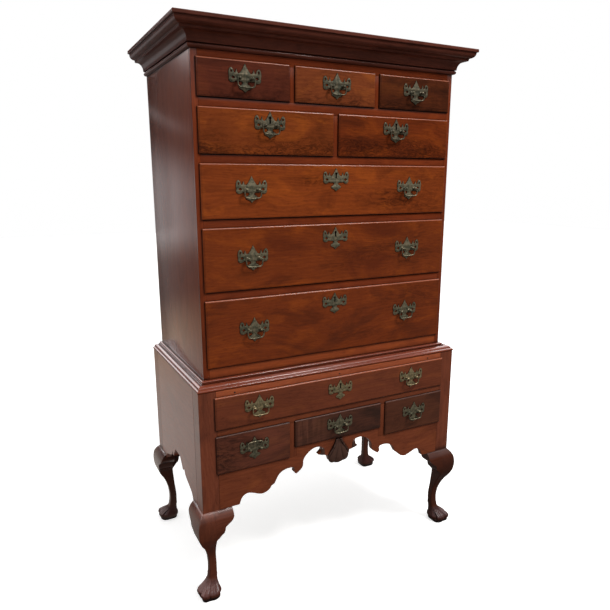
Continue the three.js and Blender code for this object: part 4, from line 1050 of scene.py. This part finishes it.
def plate_mesh(name, size, keyhole):
    """A bat-winged plate: bevelled outline, pierced wings, and a keyhole if it has one."""
    wing, rise = size * PLATE_WIDTH / 2, size * PLATE_RISE
    half = [(p.x * wing, p.y * (rise if p.y > 0 else size * PLATE_DROP)) for p in edge_points(PLATE_EDGE)]
    loops = [half + flipped(half[1:-1][::-1])]
    for across, up, wide, tall in PIERCINGS:
        hole = arc((across * wing, up * rise), (wide * wing, tall * rise), (0, 324), 9)
        loops += [flipped(hole), hole]
    if keyhole:
        loops.append(keyhole_points(size))
    curve = bpy.data.curves.new(name, "CURVE")
    curve.dimensions = "2D"
    curve.fill_mode = "BOTH"
    curve.extrude = PLATE / 2 - PLATE_BEVEL
    curve.bevel_depth = PLATE_BEVEL
    curve.bevel_resolution = 1
    curve.offset = -PLATE_BEVEL
    for loop in loops:
        line = curve.splines.new("POLY")
        line.points.add(len(loop) - 1)
        for point, (x, z) in zip(line.points, loop):
            point.co = (x, z, 0, 1)
        line.use_cyclic_u = True
    holder = bpy.data.objects.new(name, curve)
    mesh = bpy.data.meshes.new_from_object(holder)
    bpy.data.objects.remove(holder)
    bpy.data.curves.remove(curve)
    mesh.transform(Matrix.Translation((0, -PLATE / 2, 0)) @ Matrix.Rotation(math.radians(90), 4, "X"))
    return mesh


def turned_mesh(name, profile, sides=20):
    """A turned piece round -Y, from (radius, height) pairs in mm."""
    return lofted(name, [ring_of(Vector((0, -height * MM, 0)), Vector((radius * MM, 0, 0)),
                                 Vector((0, 0, radius * MM)), sides) for radius, height in profile])


def post_mesh():
    ball = arc((0, POST_REACH / MM), (POST_BALL / MM, 0.9 * POST_BALL / MM), (-60, 75), 9)
    return turned_mesh("post", list(POST_STEPS) + ball)


def bail_mesh():
    """A cast bail with its ends turned in to the posts, and a swell in the middle of its grip."""
    half = list(BAIL_ENDS) + [(x * BAIL_HALF, z * BAIL_DROP, r) for x, z, r in BAIL_GRIP_SHARES]
    places = half + [(-x, z, r) for x, z, r in half[:-1][::-1]]
    path = spline(places, BAIL_STEPS) + [Vector(places[-1])]
    rings = []
    for i, place in enumerate(path):
        ahead = path[min(i + 1, BAIL_STEPS)] - path[max(i - 1, 0)]
        across = Vector((-ahead.y, 0, ahead.x)).normalized()
        if i in (0, BAIL_STEPS):
            across = Vector((0, 0, -1))
        radius = place.z * MM
        rings.append(ring_of(Vector((place.x, 0, place.y)) * MM, across * radius, Vector((0, radius, 0)), 12))
    return lofted("bail", rings)


def placed(name, mesh, centre, body, material, turn=0.0):
    copy = mesh.copy()
    copy.transform(Matrix.Translation(centre) @ Matrix.Rotation(turn, 4, "X"))
    return finish_piece(name, copy, material, (body, "brass"), 40)


def shade_sheet_behind(node, size, place, body):
    """A thin dark sheet just behind the plate's keyhole: painted shade where the hole into the drawer front
    would be.
    """
    prism(node + "_shade_patch", keyhole_points(size, 0.5 * MM), lambda a, b, d: place + Vector((a, d, b)),
          (0.02 * MM, 0.22 * MM), keyhole_shade, (body, "drawer_wood"), 0.02 * MM)


def brasses():
    plates = {keyed: plate_mesh("plate", 1, keyed) for keyed in (False, True)}
    escutcheon = plate_mesh("escutcheon", ESCUTCHEON_SHARE, True)
    post, bail, nut = post_mesh(), bail_mesh(), turned_mesh("nut", NUT_STEPS, 6)

    def metal_of(node):
        if "top_" in node or "second_" in node:
            return dull_brass
        return bright_brass if "lower_long" in node else brass

    def axis_of(node, size=1):
        """Where the post axis of a plate meets the drawer front."""
        low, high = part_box(node)
        return Vector(((low[0] + high[0]) / 2, high[1], low[2] + size * PLATE_DROP))

    for node in sorted(frame["nodes"]):
        metal = metal_of(node)
        if node.startswith("bail_plate_"):
            drawer_name = "drawer_" + "_".join(node.split("_")[2:4])
            place, keyed = axis_of(node), "second" in node
            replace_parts(placed(node + "_cast", plates[keyed], place, drawer_name, metal), node)
            if keyed:
                shade_sheet_behind(node, 1, place, drawer_name)
            for side, _ in SIDES:
                spot = place + Vector((side * POST_SPACING / 2, FIT - PLATE, 0))
                placed("%s_post_%d" % (node, side + 1), post, spot, drawer_name, metal)
                inside = Vector((spot.x, face_of(drawer_name) + FRONT, spot.z))
                placed("%s_nut_%d" % (node, side + 1), nut, inside, drawer_name, iron, math.pi)
        elif node.startswith("bail_"):
            pins = axis_of(node.replace("bail_", "bail_plate_")) - Vector((0, PLATE + POST_REACH - FIT, 0))
            turn = -math.radians(RAISED_TURN) if node == RAISED_BAIL else 0
            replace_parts(placed(node + "_cast", bail, pins, node, metal, turn), node)
        elif node.startswith("escutcheon_"):
            drawer_name = node.replace("escutcheon", "drawer")
            place = axis_of(node, ESCUTCHEON_SHARE)
            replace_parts(placed(node + "_cast", escutcheon, place, drawer_name, metal), node)
            shade_sheet_behind(node, ESCUTCHEON_SHARE, place, drawer_name)


upper_case()
upper_frame()
mouldings()
lower_frame()
lower_sides()
legs()

# Each front is cut from its own board: body colour, dark colour, amount of figure, blots, glow, and
# curls as (place across, place up, radius across, radius up, slant, strength), in shares of the front
# Painted shade along the bottom of each top-row front, given as one more curl
BOTTOM_SHADE = (0.5, 0.0, 0.9, 0.3, 0, 0.8)
FRONTS = {
    "top_left": ((99, 46, 30), (50, 22, 15), 0.6, None, 0.4, ((0.9, 0.3, 0.4, 0.7, 20, 0.5), BOTTOM_SHADE)),
    "top_centre": ((132, 66, 34), (66, 30, 17), 0.6, None, 0.6,
                   ((0.1, 0.3, 0.3, 0.6, 0, 0.4), (0.7, 0.2, 0.4, 0.4, 20, 0.5), BOTTOM_SHADE)),
    "top_right": ((90, 43, 22), (46, 22, 13), 0.7, None, 0.6,
                  ((0.2, 0.2, 0.4, 0.5, 20, 0.6), (0.8, 0.3, 0.3, 0.8, 0, 0.4), BOTTOM_SHADE)),
    "second_left": ((132, 62, 25), (64, 28, 12), 0.5, None, 0.7,
                    ((0.08, 0.25, 0.2, 0.4, 0, 0.6), (0.8, 0.2, 0.35, 0.35, -20, 0.5))),
    "second_right": ((116, 49, 19), (58, 25, 12), 0.6, None, 0.8,
                     ((0.25, 0.3, 0.4, 0.5, 20, 0.6), (0.8, 0.15, 0.4, 0.4, 0, 0.5))),
    "long_upper": ((140, 64, 25), (68, 28, 13), 0.5, None, 0.6,
                   ((0.42, 0.7, 0.14, 0.16, 8, 0.7), (0.72, 0.34, 0.2, 0.3, 12, 0.75),
                    (0.84, 0.14, 0.2, 0.24, -20, 0.5), (0.95, 0.5, 0.3, 0.8, 0, 0.35))),
    "long_middle": ((127, 56, 20), (68, 28, 13), 0.5, (90, 36, 15), 0.6,
                    ((0.6, 0.42, 0.16, 0.42, 25, 0.6), (0.86, 0.5, 0.24, 0.6, 0, 0.4))),
    "long_lower": ((122, 53, 20), (68, 29, 14), 0.6, (86, 38, 18), 0.6,
                   ((0.84, 0.75, 0.2, 0.36, 10, 0.6), (0.5, 0.2, 0.3, 0.3, 0, 0.3))),
    "lower_long": ((114, 57, 36), (64, 30, 20), 0.5, None, 0.4, ()),
    "lower_left": ((108, 58, 42), (56, 32, 25), 0.6, (60, 38, 30), 0.3, ((0.12, 0.5, 0.55, 1.2, 0, 0.9),)),
    "lower_centre": ((82, 48, 36), (44, 28, 24), 0.8, (44, 30, 24), 0.3, ((0.6, 0.3, 0.4, 0.6, 0, 0.5),)),
    "lower_right": ((90, 50, 34), (54, 30, 22), 0.6, None, 0.4, ((0.3, 0.4, 0.5, 0.6, 0, 0.4),)),
}
for index, (name, (body, dark, figure, stain, glow, curls)) in enumerate(FRONTS.items()):
    front_wood = wood("front_" + name, "X", body, dark, shift=(0.83 * index, 0.37 * index, 0.59 * index),
                      figure=figure, stain=stain, burl=0.75 if "second" in name else 0,
                      stripe=0.3 if name == "lower_centre" else 0, glow=glow, curls=curls)
    drawer("drawer_" + name, front_wood)
brasses()


# Floor, light and camera
SKY_LOW, SKY_HIGH = 0.14, 0.8           # strength near the horizon, and overhead
# What varnish and brass mirror: a white sweep on the floor behind the piece, a gap, and a pale wall
SWEEP_NEAR, SWEEP_FAR, SWEEP_SHINE = 2.2, 5.0, 0.41
GAP_FAR, WALL_NEAR, WALL_SHINE = 6.6, 13.0, 0.55
LEFT, RIGHT, LEFT_SHARE, RIGHT_SHARE = -0.3, -0.2, 1.33, 0.75   # both are brighter towards the left
WALL_TOP, HIGH_SHINE = 0.1, 0.04        # the wall's top as height on the sky, and what is above it
STRIP_LOW, STRIP_HIGH, STRIP_SHINE = 0.112, 0.142, 0.3
OVER_FRONT, OVER_BACK = 0.65, 4.2       # a ceiling light, towards the front and the back
OVER_LOW, OVER_HIGH = 0.235, 0.35
FLOOR_HALF = 14


def stage():
    """A pale floor: it keeps the shadow, and away from it reads as white as the background."""
    material, n = new_material("pale_floor")
    rays = n.add("LightPath").outputs
    seen, shining = rays["Is Camera Ray"], rays["Is Glossy Ray"]
    place = n.coords()
    away = n.length(place)
    to_right = n.math("DIVIDE", n.along("X", place), away)
    mirrored = n.times(n.plus(n.ramp(away, SWEEP_FAR, SWEEP_NEAR, 0, SWEEP_SHINE),
                              n.ramp(away, GAP_FAR, WALL_NEAR, 0, WALL_SHINE), 0.008),
                       n.ramp(n.along("Y", place), -0.4, 0.8),
                       n.ramp(to_right, LEFT, RIGHT, LEFT_SHARE, RIGHT_SHARE))
    colour = n.cover(srgb(116, 110, 104), srgb(24, 22, 20), shining)
    tint = n.cover((1, 0.71, 0.49, 1), (0.98, 0.93, 0.93, 1), n.ramp(away, 4.0, 11.0))
    tint = n.cover(tint, (0.97, 0.85, 0.77, 1), n.ramp(away, 3.2, 1.6))
    n.surface(Base_Color=n.cover(colour, srgb(236, 234, 231), seen), Roughness=0.9,
              Emission_Color=n.cover((1, 1, 1, 1), tint, shining),
              Emission_Strength=n.plus(n.times(seen, 0.62), n.times(shining, mirrored)))
    corners = [(x * FLOOR_HALF, y * FLOOR_HALF, 0) for x, y in ((-1, -1), (1, -1), (1, 1), (-1, 1))]
    floor = show("floor", mesh_of("floor", corners, [(0, 1, 2, 3)]))
    floor.data.materials.append(material)


def world():
    """White to the camera; a soft sky for light; for shine, a room that is bright behind."""
    scene.world = bpy.data.worlds.new("studio")
    scene.world.use_nodes = True
    n = Nodes(scene.world.node_tree)
    n.tree.nodes.clear()
    rays = n.add("LightPath").outputs
    split = n.add("SeparateXYZ", Vector=n.coords("Generated")).outputs
    to_right, to_back, up = split["X"], split["Y"], split["Z"]
    middle = (STRIP_LOW + STRIP_HIGH) / 2
    strip = n.times(n.ramp(up, STRIP_LOW, middle, 0, STRIP_SHINE), n.ramp(up, middle, STRIP_HIGH, 1, 0))
    wall = n.times(n.plus(n.ramp(up, 0.0, WALL_TOP, WALL_SHINE, HIGH_SHINE), strip),
                   n.ramp(to_back, -0.5, 0.3, 0.04, 1.0),
                   n.ramp(to_right, LEFT, RIGHT, LEFT_SHARE, RIGHT_SHARE))
    ceiling = n.times(n.ramp(to_back, -0.35, 0.25, OVER_FRONT, OVER_BACK), n.ramp(up, OVER_LOW, OVER_HIGH))

    def light(colour, strength):
        return n.add("Background", Color=colour, Strength=strength).outputs[0]

    def switched(factor, first, last):
        return n.add("MixShader", factor, first, last).outputs[0]
    sky = light((0.96, 0.98, 1.0, 1), n.ramp(up, 0.0, 0.8, SKY_LOW, SKY_HIGH))
    room = light((1.0, 0.96, 0.97, 1), n.math("MAXIMUM", wall, ceiling))
    seen = n.math("MAXIMUM", rays["Is Camera Ray"], rays["Is Transmission Ray"])
    n.add("OutputWorld", Surface=switched(seen, switched(rays["Is Glossy Ray"], sky, room),
                                          light((1, 1, 1, 1), 1.0)))


def lamp(name, place, target, size, power, mirrored=True):
    light = bpy.data.lights.new(name, "AREA")
    light.shape = "RECTANGLE"
    light.size, light.size_y = size
    light.energy = power
    ob = show(name, light)
    ob.location = place
    ob.visible_glossy = mirrored
    ob.rotation_euler = (Vector(target) - Vector(place)).to_track_quat("-Z", "Y").to_euler()


def camera():
    """The photograph's camera, solved from the corners of the case."""
    yaw, pitch, roll = (math.radians(a) for a in (27.61, -12.99, -0.08))
    focal_px, frame_px = 575.01, 610
    centre_px = (303.65, 313.69)
    data = bpy.data.cameras.new("camera")
    data.sensor_fit = "HORIZONTAL"
    data.sensor_width = 36
    data.lens = data.sensor_width * focal_px / frame_px
    data.shift_x = (frame_px / 2 - centre_px[0]) / frame_px
    data.shift_y = (centre_px[1] - frame_px / 2) / frame_px
    data.clip_end = 100
    scene.camera = show("camera", data)
    shift = (cad_box[0][1] + cad_box[1][1]) / 2
    place = Vector((-1.00255, FRONT_Y - 1.69072 + shift, 1.38311))
    turn = Matrix.Rotation(-yaw, 4, "Z") @ Matrix.Rotation(math.pi / 2 + pitch, 4, "X")
    scene.camera.matrix_world = Matrix.Translation(place) @ turn @ Matrix.Rotation(roll, 4, "Z")


stage()
world()
lamp("key", (2.0, -2.6, 4.9), (0, 0, 0.9), (1.2, 1.0), 165)
lamp("fill", (-0.6, -4.2, 1.6), (0, 0, 0.9), (2.6, 2.0), 18, False)
camera()
scene.view_settings.view_transform = "Standard"
